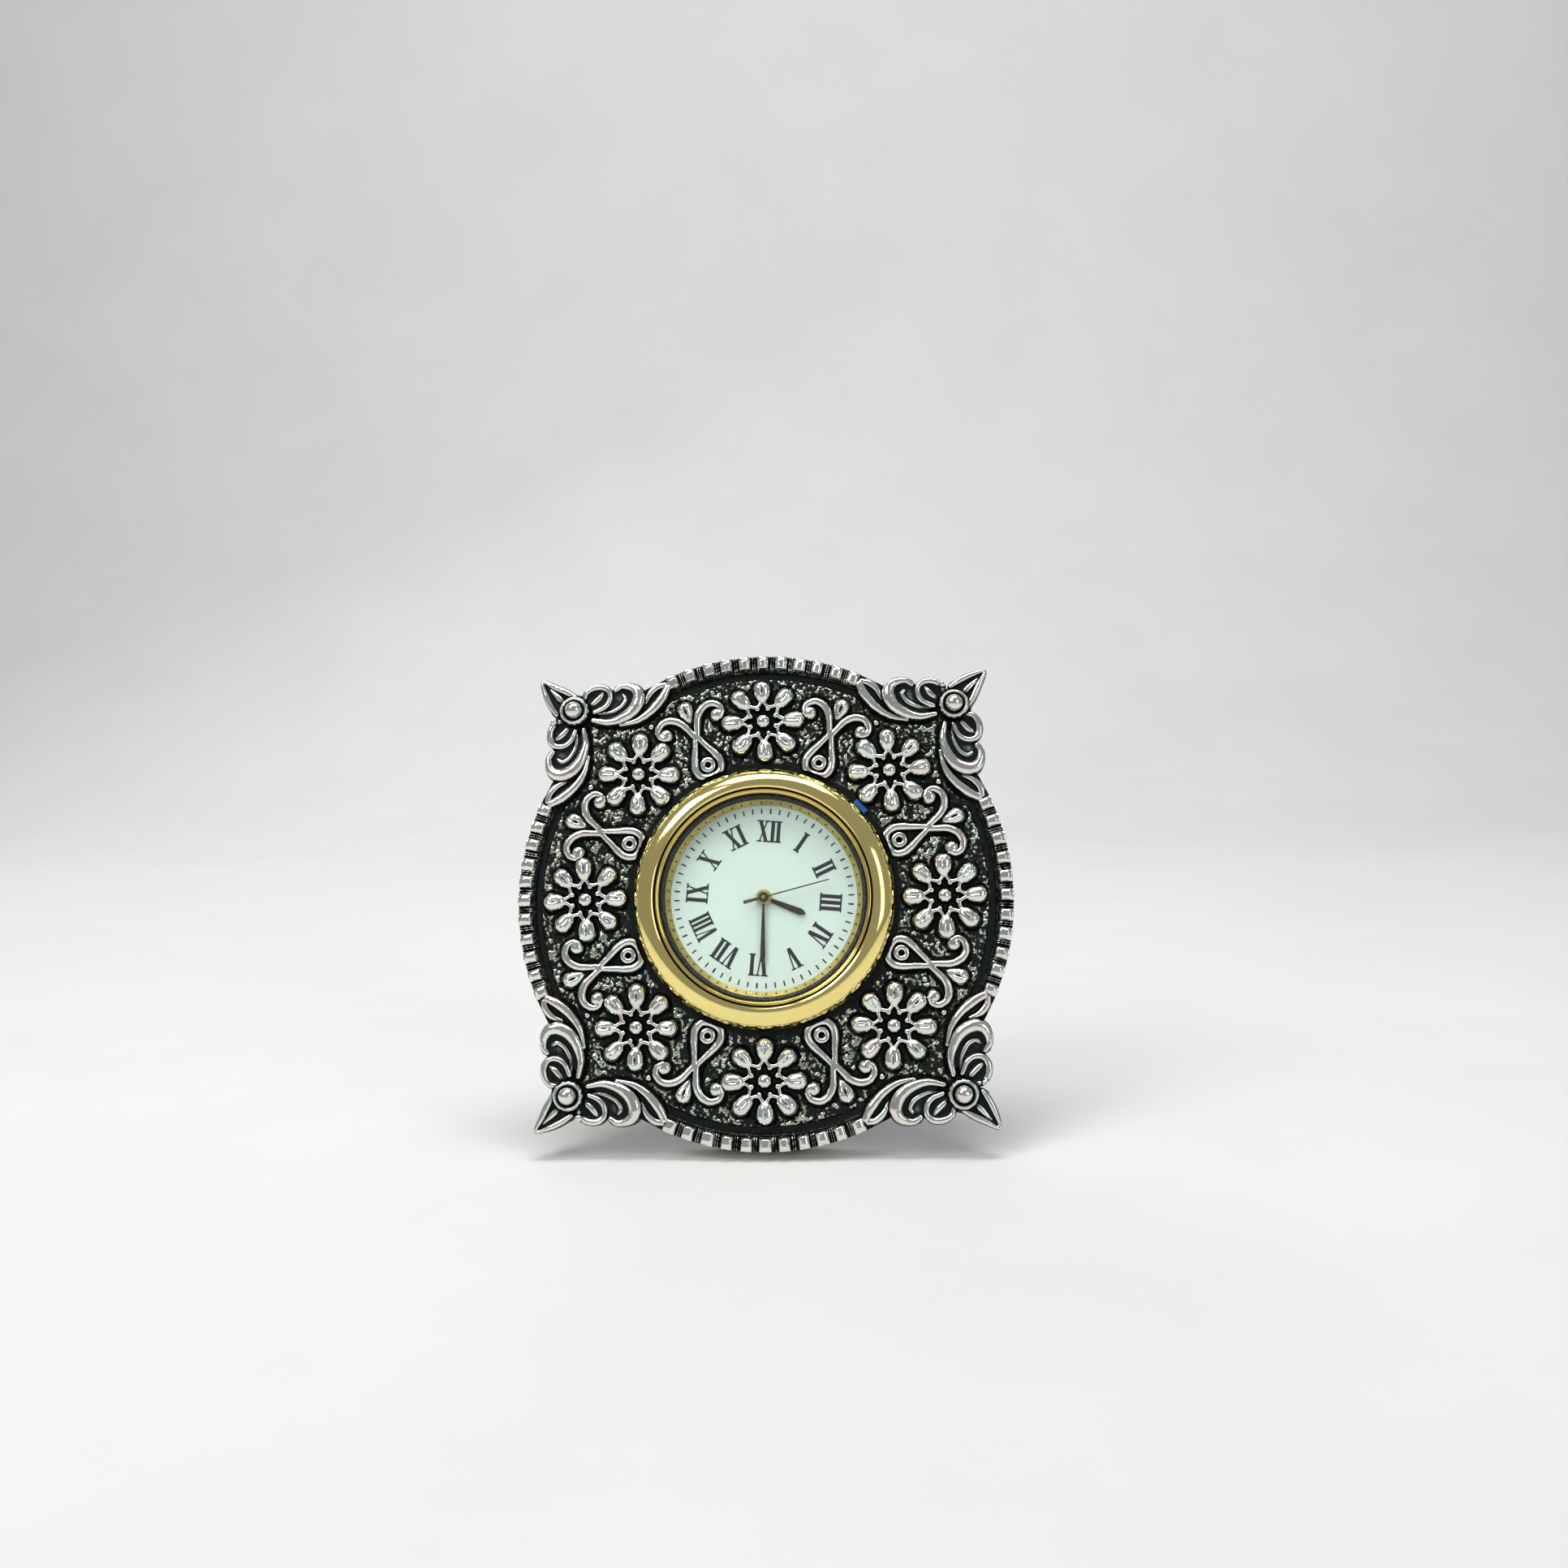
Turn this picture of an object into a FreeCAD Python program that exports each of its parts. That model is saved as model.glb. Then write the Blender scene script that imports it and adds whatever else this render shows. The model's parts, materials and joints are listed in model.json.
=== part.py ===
import FreeCAD, Part
import math
import os
from FreeCAD import Placement, Rotation, Vector

# A small oxidised-silver table clock that leans back on a folding wire stand.
# A white-metal casting, with flowers, scrolls, corner leaves and a beaded rim in relief, holds a round
# fit-up quartz clock with a gilt bezel. The fit-up pulls out of its bore towards the front.
#
# Everything is first built lying flat: X to the right of the dial, Y to twelve o'clock, Z towards the eye.
# Z 0 is the front of the casting's ground and X 0, Y 0 is the middle of the bore. The last step stands
# each piece up, leans it back and puts the middle of the filed foot at the origin. Lengths are
# millimetres, angles degrees.

# The two radii that set the plan: the crystal's sets the fit-up clock, the rim's sets the casting round it
crystal_radius = 15.3
rim_radius = 35.0
bezel_width = 3.2
bezel_overhang = 1.0
bezel_radius = crystal_radius + bezel_width

# Casting
ground_thickness = 1.6
skirt_depth = 6.0
skirt_wall = 1.8
corner_inset = 6.5
corner_half = rim_radius - corner_inset
corner_round = 3.0
bore_radius = bezel_radius - bezel_overhang
foot_flat_depth = 0.3
lean = 15.0
overrun = 1.0

# Bead rim
beads_per_side = 11
bead_radius = 0.85
bead_length = 2.1
bead_sink = 0.15
bead_inset = 0.12
bead_spread = 22.5
rim_band_width = 0.7
rim_band_height = 0.35

# Flowers: their plan sizes are shares of the relief's width, from bezel to rim
relief_width = rim_radius - bezel_radius
flower_count = 8
flower_circle = bezel_radius + 0.418 * relief_width
petal_count = 8
petal_reach = 0.370 * relief_width
petal_radius = 0.0758 * relief_width
petal_taper_length = 0.139 * relief_width
petal_tip_radius = 0.021 * relief_width
petal_sink = 0.1
flower_pearl_radius = 0.0655 * relief_width
flower_pearl_rise = 0.25
calyx_outer = 0.182 * relief_width
calyx_valley = 0.136 * relief_width
calyx_band = 0.45
calyx_height = 0.75
calyx_root = 0.5
bezel_gap = 0.4

# Scroll motifs between the flowers
scroll_loop_circle = bezel_radius + 0.158 * relief_width
scroll_tube = 0.42
scroll_rise = 0.18
scroll_eye_radius = 0.85
scroll_eye_tube = 0.36
path_bend_share = 0.45
tendril_ball_radius = 0.78
bud_circle = bezel_radius + 0.709 * relief_width
bud_radius = 1.05
bud_length = 2.1
bud_tip_radius = 0.3

# Corner ornaments
leaf_height = 1.3
leaf_floor = 0.45
leaf_border_share = 0.74
rib_width = 0.5
rib_height = 0.55
lobe_height = 1.6
blade_height = 1.15
cup_radius = 2.15
cup_height = 1.5
corner_pearl_radius = 1.3
corner_pearl_rise = 1.75
corner_pearl_inset = 1.2
corner_pearl_place = corner_half - corner_pearl_inset

# Back board, its posts and screws
board_thickness = 2.5
board_gap = 0.25
post_inset = 4.9
post_place = corner_half - post_inset
post_radius = 2.3
screw_radius = 0.8
screw_grip = 2.0
screw_head_radius = 1.7
screw_head_height = 0.7
screw_slot_width = 0.4
screw_slot_depth = 0.35
thread_gap = 0.05

# Wire stand and the lugs that it turns in
stand_wire = 1.0
stand_draw = 8.0
stand_bend_share = 0.30
stand_open = 26.0
paddle_thickness = 1.4
paddle_half = 1.7
paddle_top = 2.4
paddle_length = 4.0
stop_gap = 0.05
pin_radius = 0.9
pin_head_radius = 1.5
pin_head_height = 0.6
running_gap = 0.05
side_gap = 0.1
lug_thickness = 1.1
lug_foot = 0.8
lug_foot_width = 5.0
lug_foot_length = 8.0
lug_ear_half = 1.9
rivet_radius = 0.6
rivet_head_radius = 1.0
rivet_head_height = 0.4
rivet_spacing = 5.0
lug_margin = 0.1
lug_screw_gap = 3.9
pivot_height = post_place - screw_head_radius - lug_screw_gap - lug_foot_length / 2

# Fit-up clock: bezel, crystal, dial and case
dial_turn = 4.8
bezel_rise = 0.35
bezel_edge = 0.6
bezel_peak = 3.1
bezel_brow = 0.6
bezel_peak_radius = crystal_radius + bezel_brow
bezel_lip_overlap = 0.7
bezel_lip_radius = crystal_radius - bezel_lip_overlap
bezel_lip_drop = 0.35
bezel_groove_place = 0.6
bezel_groove_radius = bezel_lip_radius + bezel_groove_place
bezel_groove_width = 0.22
bezel_groove_depth = 0.25
crystal_thickness = 0.7
crystal_top = 2.3
rehaut_inset = 0.3
rehaut_slope = 1.15
rehaut_top_radius = bezel_lip_radius - rehaut_inset
rehaut_foot_radius = rehaut_top_radius - rehaut_slope
fit_gap = 0.05
dial_inset = 0.3
dial_radius = crystal_radius - dial_inset
dial_thickness = 0.4
dial_top = 0.2
film_edge = 0.1
film_inner = bore_radius + film_edge
film_outer = bezel_radius - 2 * film_edge
film_tab_gap = 0.092
film_tab_reach = flower_circle - petal_reach - film_outer - film_tab_gap
film_tab_width = 2.2
film_tab_angle = 47.0
case_gap = 0.8
case_wall = 0.8
case_radius = bore_radius - case_gap
case_bore = case_radius - case_wall
case_depth = 7.6
ledge_reach = 2.1
ledge_radius = case_bore - ledge_reach
ledge_thickness = 0.8
grip_outer = bore_radius - fit_gap
grip_start = 1.0
grip_end_inset = 2.0
grip_length = case_depth - grip_start - grip_end_inset
grip_ribs = 5
grip_rib_share = 0.55
grip_root = 0.35
back_thickness = 0.8
back_lip = 1.0

# Movement: its plan sizes are drawn for one case bore and follow the bore, its depths follow the case's
drawn_bore = 15.9
drawn_depth = 7.6
plan_share = case_bore / drawn_bore
depth_share = case_depth / drawn_depth
motion_room = 1.4 * depth_share
plate_rim_inner = 11.8 * plan_share
plate_thickness = 0.8 * depth_share
train_room = 3.1 * depth_share
bridge_radius = 13.4 * plan_share
bridge_thickness = 0.6 * depth_share
bridge_gap = 0.3
holder_wall = 0.9
pillar_radius = 0.9
pillar_circle = 12.2 * plan_share
pillar_angles = (5.0, 130.0, 262.0)
small_screw_radius = 0.4
small_screw_head_radius = 0.8
small_screw_head_height = 0.35
small_slot_width = 0.2
small_slot_depth = 0.15

# Wheels: how thick they are and how their teeth and crossings are shaped
wheel_thickness = 0.3
pinion_length = 0.55
tooth_share = 0.40
tip_share = 0.15
addendum_share = 0.80
dedendum_share = 1.15
crossing_hub_share = 0.26
crossing_rim_share = 0.80
spoke_count = 4
spoke_share = 0.10

# Arbors and tubes that turn inside one another in the middle
second_arbor = 0.14
centre_tube = 0.36
cannon_tube = 0.60
hour_tube = 0.88
dial_hole = 1.0
arbor_radius = 0.25
pivot_radius = 0.15
end_play = 0.05

# Motion work, in front of the plate; each level is measured forward from it
motion_module = 0.2 * plan_share
cannon_teeth = 12
minute_wheel_teeth = 36
minute_pinion_teeth = 10
hour_wheel_teeth = 40
setting_teeth = 12
motion_level = 0.15 * depth_share
hour_level = 0.8 * depth_share
minute_angle = -60.0
setting_angle = -150.0

# Going train, behind the plate; each level is measured backward from it
train_module = 0.16 * plan_share
third_wheel_teeth = 60
second_pinion_teeth = 8
third_pinion_teeth = 8
centre_wheel_teeth = 64
third_angle = 130.0
step_module = 0.24 * plan_share
second_wheel_teeth = 40
fifth_pinion_teeth = 8
fifth_angle = 200.0
rotor_module = 0.13 * plan_share
fifth_wheel_teeth = 48
rotor_pinion_teeth = 8
rotor_angle = 222.0
centre_level = 0.3 * depth_share
third_level = 1.0 * depth_share
second_level = 1.75 * depth_share
fifth_level = 2.45 * depth_share
rotor_level = 0.2 * depth_share
rotor_radius = 1.2 * plan_share
rotor_length = 0.9 * depth_share

# Knob that sets the hands
setting_arbor = 0.5
knob_radius = 2.6 * plan_share
knob_height = 1.7
knob_gap = 0.25
knob_flutes = 16
knob_flute_radius = 0.35

# Stepping motor
stator_level = 0.25 * depth_share
stator_thickness = 0.5 * depth_share
stator_half_length = 6.2 * plan_share
stator_width = 3.6 * plan_share
stator_arm_width = 2.0 * plan_share
rotor_gap = 0.2
coil_circle = 12.1 * plan_share
coil_radius = 1.1
coil_length = 7.6 * plan_share
coil_bore_gap = 0.05
core_width = 0.9

# Circuit board, battery, strap and the hatch in the back
board_place = (-9.6 * plan_share, 4.0 * plan_share)
board_size = (5.0 * plan_share, 8.0 * plan_share)
board_sheet = 0.4
crystal_can_radius = 0.75
crystal_can_length = 5.0 * plan_share
crystal_can_offset = (1.3 * plan_share, 0.0)
chip_size = (1.8 * plan_share, 2.2 * plan_share)
chip_height = 0.5
chip_offset = (-1.2 * plan_share, 1.5 * plan_share)
battery_radius = 3.95 * plan_share
battery_height = 3.6 * depth_share
battery_step = 0.4
battery_place = (8.35 * plan_share, 5.0 * plan_share)
strap_thickness = 0.2
strap_width = 1.6
hatch_radius = 4.6 * plan_share
hatch_step = 0.5
hatch_gap = 0.1
hatch_depth = 0.4
hatch_lug_width = 1.6
hatch_lug_height = 0.5
hatch_turn = 60.0
coin_slot_width = 1.0
coin_slot_depth = 0.25
coin_slot_length = 6.0 * plan_share

# Hands, clockwise from twelve on the dial
hour_angle = 107.0
minute_hand_angle = 176.2
second_angle = 70.7
hand_thickness = 0.15
hour_hand_rise = 0.25
minute_hand_rise = 0.6
second_hand_rise = 0.95
hour_hand_length = 0.487 * rehaut_foot_radius
hour_hand_width = 0.95
hour_hand_neck = 0.45
minute_hand_length = 0.73 * rehaut_foot_radius
minute_hand_width = 0.75
minute_hand_neck = 0.34
second_hand_length = 0.73 * rehaut_foot_radius
second_hand_width = 0.2
second_tail_length = 2.9
second_tail_width = 0.5
hour_boss = 1.15
minute_boss = 0.95
second_boss = 0.7
widest_share = 0.80


def at(radius, angle, height=0.0):
    """A point at a radius and a compass angle: 0 is twelve o'clock, and it grows clockwise."""
    turn = math.radians(angle)
    return Vector(radius * math.sin(turn), radius * math.cos(turn), height)


def disc(radius, low, high, place=Vector(0, 0, 0)):
    return Part.makeCylinder(radius, high - low, Vector(place.x, place.y, low))


def ring(inner, outer, low, high, place=Vector(0, 0, 0)):
    cut = disc(inner, low - overrun, high + overrun, place)
    return disc(outer, low, high, place).cut(cut)


def block(width, length, low, high, place=Vector(0, 0, 0), turn=0.0):
    """A box centred on a place, turned counter-clockwise about it."""
    shape = Part.makeBox(width, length, high - low, Vector(-width / 2, -length / 2, low))
    shape.rotate(Vector(0, 0, 0), Vector(0, 0, 1), turn)
    shape.translate(Vector(place.x, place.y, 0))
    return shape


def rounded_block(half, rounding, low, high):
    """A square block with rounded upright corners."""
    shape = block(2 * half, 2 * half, low, high)
    upright = [e for e in shape.Edges if abs(e.Vertexes[0].Z - e.Vertexes[-1].Z) > (high - low) / 2]
    return shape.makeFillet(rounding, upright)


def revolve(points, centre=Vector(0, 0, 0)):
    """A solid of revolution about Z from (radius, height) corners."""
    corners = [Vector(r, 0, z) for r, z in points]
    face = Part.Face(Part.makePolygon(corners + corners[:1]))
    shape = face.revolve(Vector(0, 0, 0), Vector(0, 0, 1), 360)
    shape.translate(centre)
    return shape


def prism(points, low, high):
    """An upright solid over a polygon of plan points."""
    corners = [Vector(p.x, p.y, low) for p in points]
    face = Part.Face(Part.makePolygon(corners + corners[:1]))
    return face.extrude(Vector(0, 0, high - low))


def smooth_prism(points, low, high):
    """An upright solid over a closed smooth curve through plan points."""
    curve = Part.BSplineCurve()
    curve.interpolate([Vector(p.x, p.y, low) for p in points], PeriodicFlag=True)
    face = Part.Face(Part.Wire(curve.toShape()))
    return face.extrude(Vector(0, 0, high - low))


def fused(shapes):
    first, *others = shapes
    return first.multiFuse(others).removeSplitter() if others else first


def turned(shape, angle, place=Vector(0, 0, 0)):
    """A copy turned clockwise, as seen on the dial, about a place."""
    copy = shape.copy()
    copy.rotate(place, Vector(0, 0, 1), -angle)
    return copy


def path(points, share):
    """Straight runs joined by tangent arcs, each arc starting a share of the shorter run from its corner."""
    edges = []
    start = points[0]
    for before, corner, after in zip(points, points[1:], points[2:]):
        back, on = before - corner, after - corner
        reach = share * min(back.Length, on.Length)
        first = corner + Vector(back).normalize() * reach
        last = corner + Vector(on).normalize() * reach
        half = (math.pi - back.getAngle(on)) / 2
        bisector = (Vector(back).normalize() + Vector(on).normalize()).normalize()
        radius = reach / math.tan(half)
        middle = corner + bisector * (math.hypot(radius, reach) - radius)
        edges.append(Part.LineSegment(start, first).toShape())
        edges.append(Part.Arc(first, middle, last).toShape())
        start = last
    edges.append(Part.LineSegment(start, points[-1]).toShape())
    return Part.Wire(edges)


def tube(points, radius, share):
    """A round tube along a smoothed path."""
    spine = path(points, share)
    ahead = points[1] - points[0]
    profile = Part.Wire(Part.makeCircle(radius, points[0], ahead))
    return spine.makePipeShell([profile], True, False)


def tear(ball, tip, length):
    """A drop lying along +Y: a ball at the origin that narrows to a tip at -Y."""
    lean_in = math.asin((ball - tip) / length)
    edge = Vector(ball * math.cos(lean_in), -ball * math.sin(lean_in), 0)
    end = Vector(tip, -length, 0)
    top = Vector(0, ball, 0)
    side = Vector(ball, 0, 0)
    edges = [
        Part.Arc(top, side, edge).toShape(),
        Part.LineSegment(edge, end).toShape(),
        Part.LineSegment(end, Vector(0, -length, 0)).toShape(),
        Part.LineSegment(Vector(0, -length, 0), top).toShape(),
    ]
    return Part.Face(Part.Wire(edges)).revolve(Vector(0, 0, 0), Vector(0, 1, 0), 360)


# The casting's ground, skirt and posts
def casting_base():
    body = disc(rim_radius, -skirt_depth, 0).fuse(
        rounded_block(corner_half, corner_round, -skirt_depth, 0)
    )
    hollow = disc(rim_radius - skirt_wall, -skirt_depth - overrun, -ground_thickness).fuse(
        rounded_block(corner_half - skirt_wall, corner_round - skirt_wall / 2,
                      -skirt_depth - overrun, -ground_thickness)
    )
    band = ring(rim_radius - rim_band_width, rim_radius, -ground_thickness / 2, rim_band_height)
    body = body.cut(hollow).fuse(band)
    for place in post_places():
        post = disc(post_radius, board_front(), -ground_thickness / 2, place)
        hole = disc(screw_radius + thread_gap, board_front() - overrun, board_front() + screw_grip, place)
        body = body.fuse(post).cut(hole)
    return body.cut(disc(bore_radius, -skirt_depth - overrun, overrun))


def board_front():
    return -skirt_depth + board_thickness


def post_places():
    return [Vector(x * post_place, y * post_place, 0) for x in (-1, 1) for y in (-1, 1)]


def beads():
    """Barrel beads along the four stretches of rim that the corner leaves leave free."""
    out = rim_radius - bead_inset
    bead = Part.makeCylinder(bead_radius, bead_length - bead_radius,
                             Vector(0, out - bead_length + bead_radius, 0), Vector(0, 1, 0))
    nose = Part.makeSphere(bead_radius, Vector(0, out - bead_length + bead_radius, 0))
    bead = bead.fuse(nose).removeSplitter()
    bead.translate(Vector(0, 0, bead_sink))
    pitch = 2 * bead_spread / (beads_per_side - 1)
    return [turned(bead, side * 90 - bead_spread + n * pitch)
            for side in range(4) for n in range(beads_per_side)]


def flower():
    """One flower at the origin: eight drops round a zigzag calyx and a pearl."""
    drop = tear(petal_radius, petal_tip_radius, petal_taper_length)
    drop.translate(Vector(0, petal_reach - petal_radius, petal_sink))
    step = 360 / petal_count
    petals = [turned(drop, n * step) for n in range(petal_count)]
    outer, inner = [], []
    for n in range(2 * petal_count):
        radius = calyx_valley if n % 2 else calyx_outer
        outer.append(at(radius, n * step / 2))
        inner.append(at(radius - calyx_band, n * step / 2))
    calyx = prism(outer, -calyx_root, calyx_height).cut(
        prism(inner, -calyx_root - overrun, calyx_height + overrun))
    pearl = Part.makeSphere(flower_pearl_radius, Vector(0, 0, flower_pearl_rise))
    return fused([calyx] + petals + [pearl])


def flowers():
    keep_off = disc(bezel_radius + bezel_gap, -overrun, bezel_peak)
    one = flower()
    made = []
    for n in range(flower_count):
        copy = one.copy()
        copy.translate(at(flower_circle, n * 360 / flower_count))
        made.append(copy.cut(keep_off))
    return made


# A scroll's own plan has X across and Y outward from the bezel's edge, as shares of the relief's width
strand_shares = [(0.000, 0.451), (0.030, 0.374), (0.106, 0.258), (0.132, 0.158), (0.085, 0.058),
                 (0.000, 0.024)]
tendril_shares = [(0.008, 0.417), (0.030, 0.555), (0.117, 0.671), (0.218, 0.682), (0.274, 0.601),
                  (0.218, 0.548)]


def shared(table, side=1):
    return [Vector(side * x * relief_width, bezel_radius + y * relief_width, scroll_rise) for x, y in table]


def scroll():
    """One scroll on the twelve o'clock axis: a keyhole loop with an eye, two tendrils and a bud."""
    loop = [tube(shared(strand_shares, side), scroll_tube, path_bend_share) for side in (-1, 1)]
    eye = Part.makeTorus(scroll_eye_radius, scroll_eye_tube,
                         Vector(0, scroll_loop_circle, scroll_rise))
    curls = [tube(shared(tendril_shares, side), scroll_tube, path_bend_share) for side in (-1, 1)]
    balls = [Part.makeSphere(tendril_ball_radius, shared(tendril_shares, side)[-1]) for side in (-1, 1)]
    bud = tear(bud_radius, bud_tip_radius, bud_length)
    bud.translate(Vector(0, bud_circle, petal_sink))
    return [fused(loop + curls + balls), eye, bud]


def scrolls():
    keep_off = disc(bezel_radius + fit_gap, -overrun, bezel_peak)
    made = [piece.cut(keep_off) for piece in scroll()]
    step = 360 / flower_count
    return [turned(piece, (n + 0.5) * step) for n in range(flower_count) for piece in made]


# Corner ornament outlines for the upper left corner, as shares of the rim's radius
pointed_leaf_shares = [(-0.762, 0.781), (-0.790, 0.838), (-0.851, 0.877), (-0.919, 0.912),
                       (-0.897, 0.838), (-0.858, 0.776), (-0.800, 0.745)]
round_leaf_shares = [(-0.725, 0.752), (-0.752, 0.832), (-0.708, 0.872), (-0.655, 0.880),
                     (-0.628, 0.835), (-0.648, 0.775), (-0.690, 0.742)]
lobe_shares = [(-0.735, 0.722), (-0.660, 0.775), (-0.628, 0.848), (-0.595, 0.883), (-0.540, 0.874),
               (-0.500, 0.825), (-0.512, 0.768), (-0.565, 0.726), (-0.655, 0.703)]
blade_shares = [(-0.560, 0.712), (-0.500, 0.765), (-0.484, 0.815), (-0.455, 0.860), (-0.410, 0.886),
                (-0.378, 0.868), (-0.392, 0.810), (-0.440, 0.745), (-0.500, 0.705)]
rib_shares = {"pointed": ((-0.80, 0.79), (-0.905, 0.895)), "round": ((-0.715, 0.77), (-0.665, 0.865)),
              "blade": ((-0.52, 0.73), (-0.40, 0.86))}


def plan(table, mirrored=False):
    """Plan points of a share table, on the upper left corner, or mirrored over that corner's diagonal."""
    places = [(-y, -x) if mirrored else (x, y) for x, y in table]
    return [Vector(x * rim_radius, y * rim_radius, 0) for x, y in places]


def shrunk(points, share):
    middle = sum(points, Vector(0, 0, 0)) * (1 / len(points))
    return [middle + (p - middle) * share for p in points]


def dished(points, height, share):
    """A leaf with a raised border round a sunken floor."""
    body = smooth_prism(points, -ground_thickness, height)
    return body.cut(smooth_prism(shrunk(points, share), leaf_floor, height + overrun))


def rib(name, mirrored, height):
    start, end = plan(rib_shares[name], mirrored)
    along = end - start
    shape = block(rib_width, along.Length, 0, height)
    shape.rotate(Vector(0, 0, 0), Vector(0, 0, 1), -math.degrees(math.atan2(along.x, along.y)))
    shape.translate((start + end) * 0.5)
    return shape


def corner():
    pieces = [dished(plan(pointed_leaf_shares), leaf_height, leaf_border_share),
              rib("pointed", False, leaf_floor + rib_height)]
    for mirrored in (False, True):
        pieces.append(dished(plan(round_leaf_shares, mirrored), leaf_height, leaf_border_share))
        pieces.append(rib("round", mirrored, leaf_floor + rib_height))
        pieces.append(dished(plan(lobe_shares, mirrored), lobe_height, leaf_border_share))
        pieces.append(dished(plan(blade_shares, mirrored), blade_height, leaf_border_share))
        pieces.append(rib("blade", mirrored, leaf_floor + rib_height / 2))
    seat = Vector(-corner_pearl_place, corner_pearl_place, 0)
    pieces.append(disc(cup_radius, -ground_thickness, cup_height, seat))
    pieces.append(Part.makeSphere(corner_pearl_radius, seat + Vector(0, 0, corner_pearl_rise)))
    return fused(pieces)


def corners():
    one = corner()
    return [turned(one, n * 90) for n in range(4)]


def foot_height():
    """How far the foot's flat lies below the bore's middle once the clock leans."""
    low_edge = skirt_depth * math.sin(math.radians(lean)) + rim_radius * math.cos(math.radians(lean))
    return low_edge - foot_flat_depth


def foot_middle():
    """How far the filed foot's middle lies behind the bore's middle once the clock leans."""
    turn = math.radians(lean)
    low_edge = skirt_depth * math.cos(turn) - rim_radius * math.sin(turn)
    return low_edge + foot_flat_depth * (math.tan(turn) - 1 / math.tan(turn)) / 2


def floor_cutter():
    """Everything under the surface that the clock stands on, in the flat frame."""
    size = 4 * rim_radius
    below = Part.makeBox(size, size, size, Vector(-size / 2, -size / 2, -size))
    back = standing().inverse()
    below.Placement = back.multiply(below.Placement)
    return below


def front_casting():
    pieces = [casting_base()] + corners() + flowers() + scrolls() + beads()
    return fused(pieces).cut(floor_cutter())


def standing():
    """Carries the flat frame to the clock as it stands: up, leaned back, with its foot at the origin."""
    upright = Rotation(Vector(1, 0, 0), 90 - lean)
    return Placement(Vector(0, -foot_middle(), foot_height()), upright)


# Back board and its screws
def back_board():
    back = -skirt_depth
    board = disc(rim_radius - skirt_wall - board_gap, back, board_front())
    inner = corner_half - skirt_wall - board_gap
    board = board.fuse(rounded_block(inner, corner_round, back, board_front())).removeSplitter()
    board = board.cut(disc(bore_radius, back - overrun, board_front() + overrun))
    for place in post_places():
        board = board.cut(disc(screw_radius + thread_gap, back - overrun, board_front() + overrun, place))
    for place in rivet_places():
        board = board.cut(disc(rivet_radius + thread_gap, back - overrun, board_front() + overrun, place))
    return board.cut(floor_cutter())


def slotted_screw(radius, length, head_radius, head_height, slot_width, slot_depth, place):
    """A slotted screw whose head stands on the plane Z 0 and points to -Z, moved to a place."""
    shape = disc(radius, 0, length).fuse(disc(head_radius, -head_height, 0)).removeSplitter()
    slot = block(slot_width, 2 * head_radius + overrun, -head_height - overrun, -head_height + slot_depth)
    shape = shape.cut(slot)
    shape.translate(place)
    return shape


def board_screws():
    length = board_thickness + screw_grip
    return [slotted_screw(screw_radius, length - thread_gap, screw_head_radius, screw_head_height,
                          screw_slot_width, screw_slot_depth, place + Vector(0, 0, -skirt_depth))
            for place in post_places()]


# Wire stand: its pivots, lugs, rivets and pins
def heel_reach():
    """How far the paddle's square heel reaches towards the board when the stand is open."""
    turn = math.radians(stand_open)
    return paddle_half * math.cos(turn) + paddle_top * math.sin(turn)


def pivot_depth():
    return -skirt_depth - heel_reach() - stop_gap


def stand_half_width():
    """How far out the pivots stand, so that the lugs' feet end just inside the skirt."""
    corner_radius = rim_radius - skirt_wall - lug_margin
    outer = math.sqrt(corner_radius ** 2 - (pivot_height + lug_foot_length / 2) ** 2)
    return outer - lug_foot_width - side_gap - paddle_thickness / 2


def pivot(side):
    return Vector(side * stand_half_width(), pivot_height, pivot_depth())


def lug_inner():
    return stand_half_width() + paddle_thickness / 2 + side_gap


def rivet_places():
    across = lug_inner() + lug_thickness + (lug_foot_width - lug_thickness) / 2
    return [Vector(side * across, pivot_height + end * rivet_spacing / 2, 0)
            for side in (-1, 1) for end in (-1, 1)]


def stand_lug(side):
    """An angle bracket: its foot lies on the board, its ear holds the pivot pin."""
    depth = -skirt_depth - pivot_depth()
    ear = Part.makeBox(lug_thickness, 2 * lug_ear_half, depth,
                       Vector(lug_inner(), pivot_height - lug_ear_half, pivot_depth()))
    crown = Part.makeCylinder(lug_ear_half, lug_thickness,
                              Vector(lug_inner(), pivot_height, pivot_depth()), Vector(1, 0, 0))
    foot = Part.makeBox(lug_foot_width, lug_foot_length, lug_foot,
                        Vector(lug_inner(), pivot_height - lug_foot_length / 2, -skirt_depth - lug_foot))
    shape = ear.multiFuse([crown, foot]).removeSplitter()
    if side < 0:
        shape = shape.mirror(Vector(0, 0, 0), Vector(1, 0, 0))
    start = Vector(side * (lug_inner() - overrun), pivot_height, pivot_depth())
    hole = Part.makeCylinder(pin_radius + thread_gap, lug_thickness + 2 * overrun, start, Vector(side, 0, 0))
    shape = shape.cut(hole)
    for place in rivet_places():
        shape = shape.cut(disc(rivet_radius + thread_gap, -skirt_depth - 2 * lug_foot, 0, place))
    return shape


def lug_rivet(place):
    """A rivet through the lug's foot and the board, headed at both ends."""
    outer = -skirt_depth - lug_foot
    shank = disc(rivet_radius, outer, board_front(), place)
    rear = disc(rivet_head_radius, outer - rivet_head_height, outer, place)
    front = disc(rivet_head_radius, board_front(), board_front() + rivet_head_height, place)
    return fused([shank, rear, front])


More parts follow.
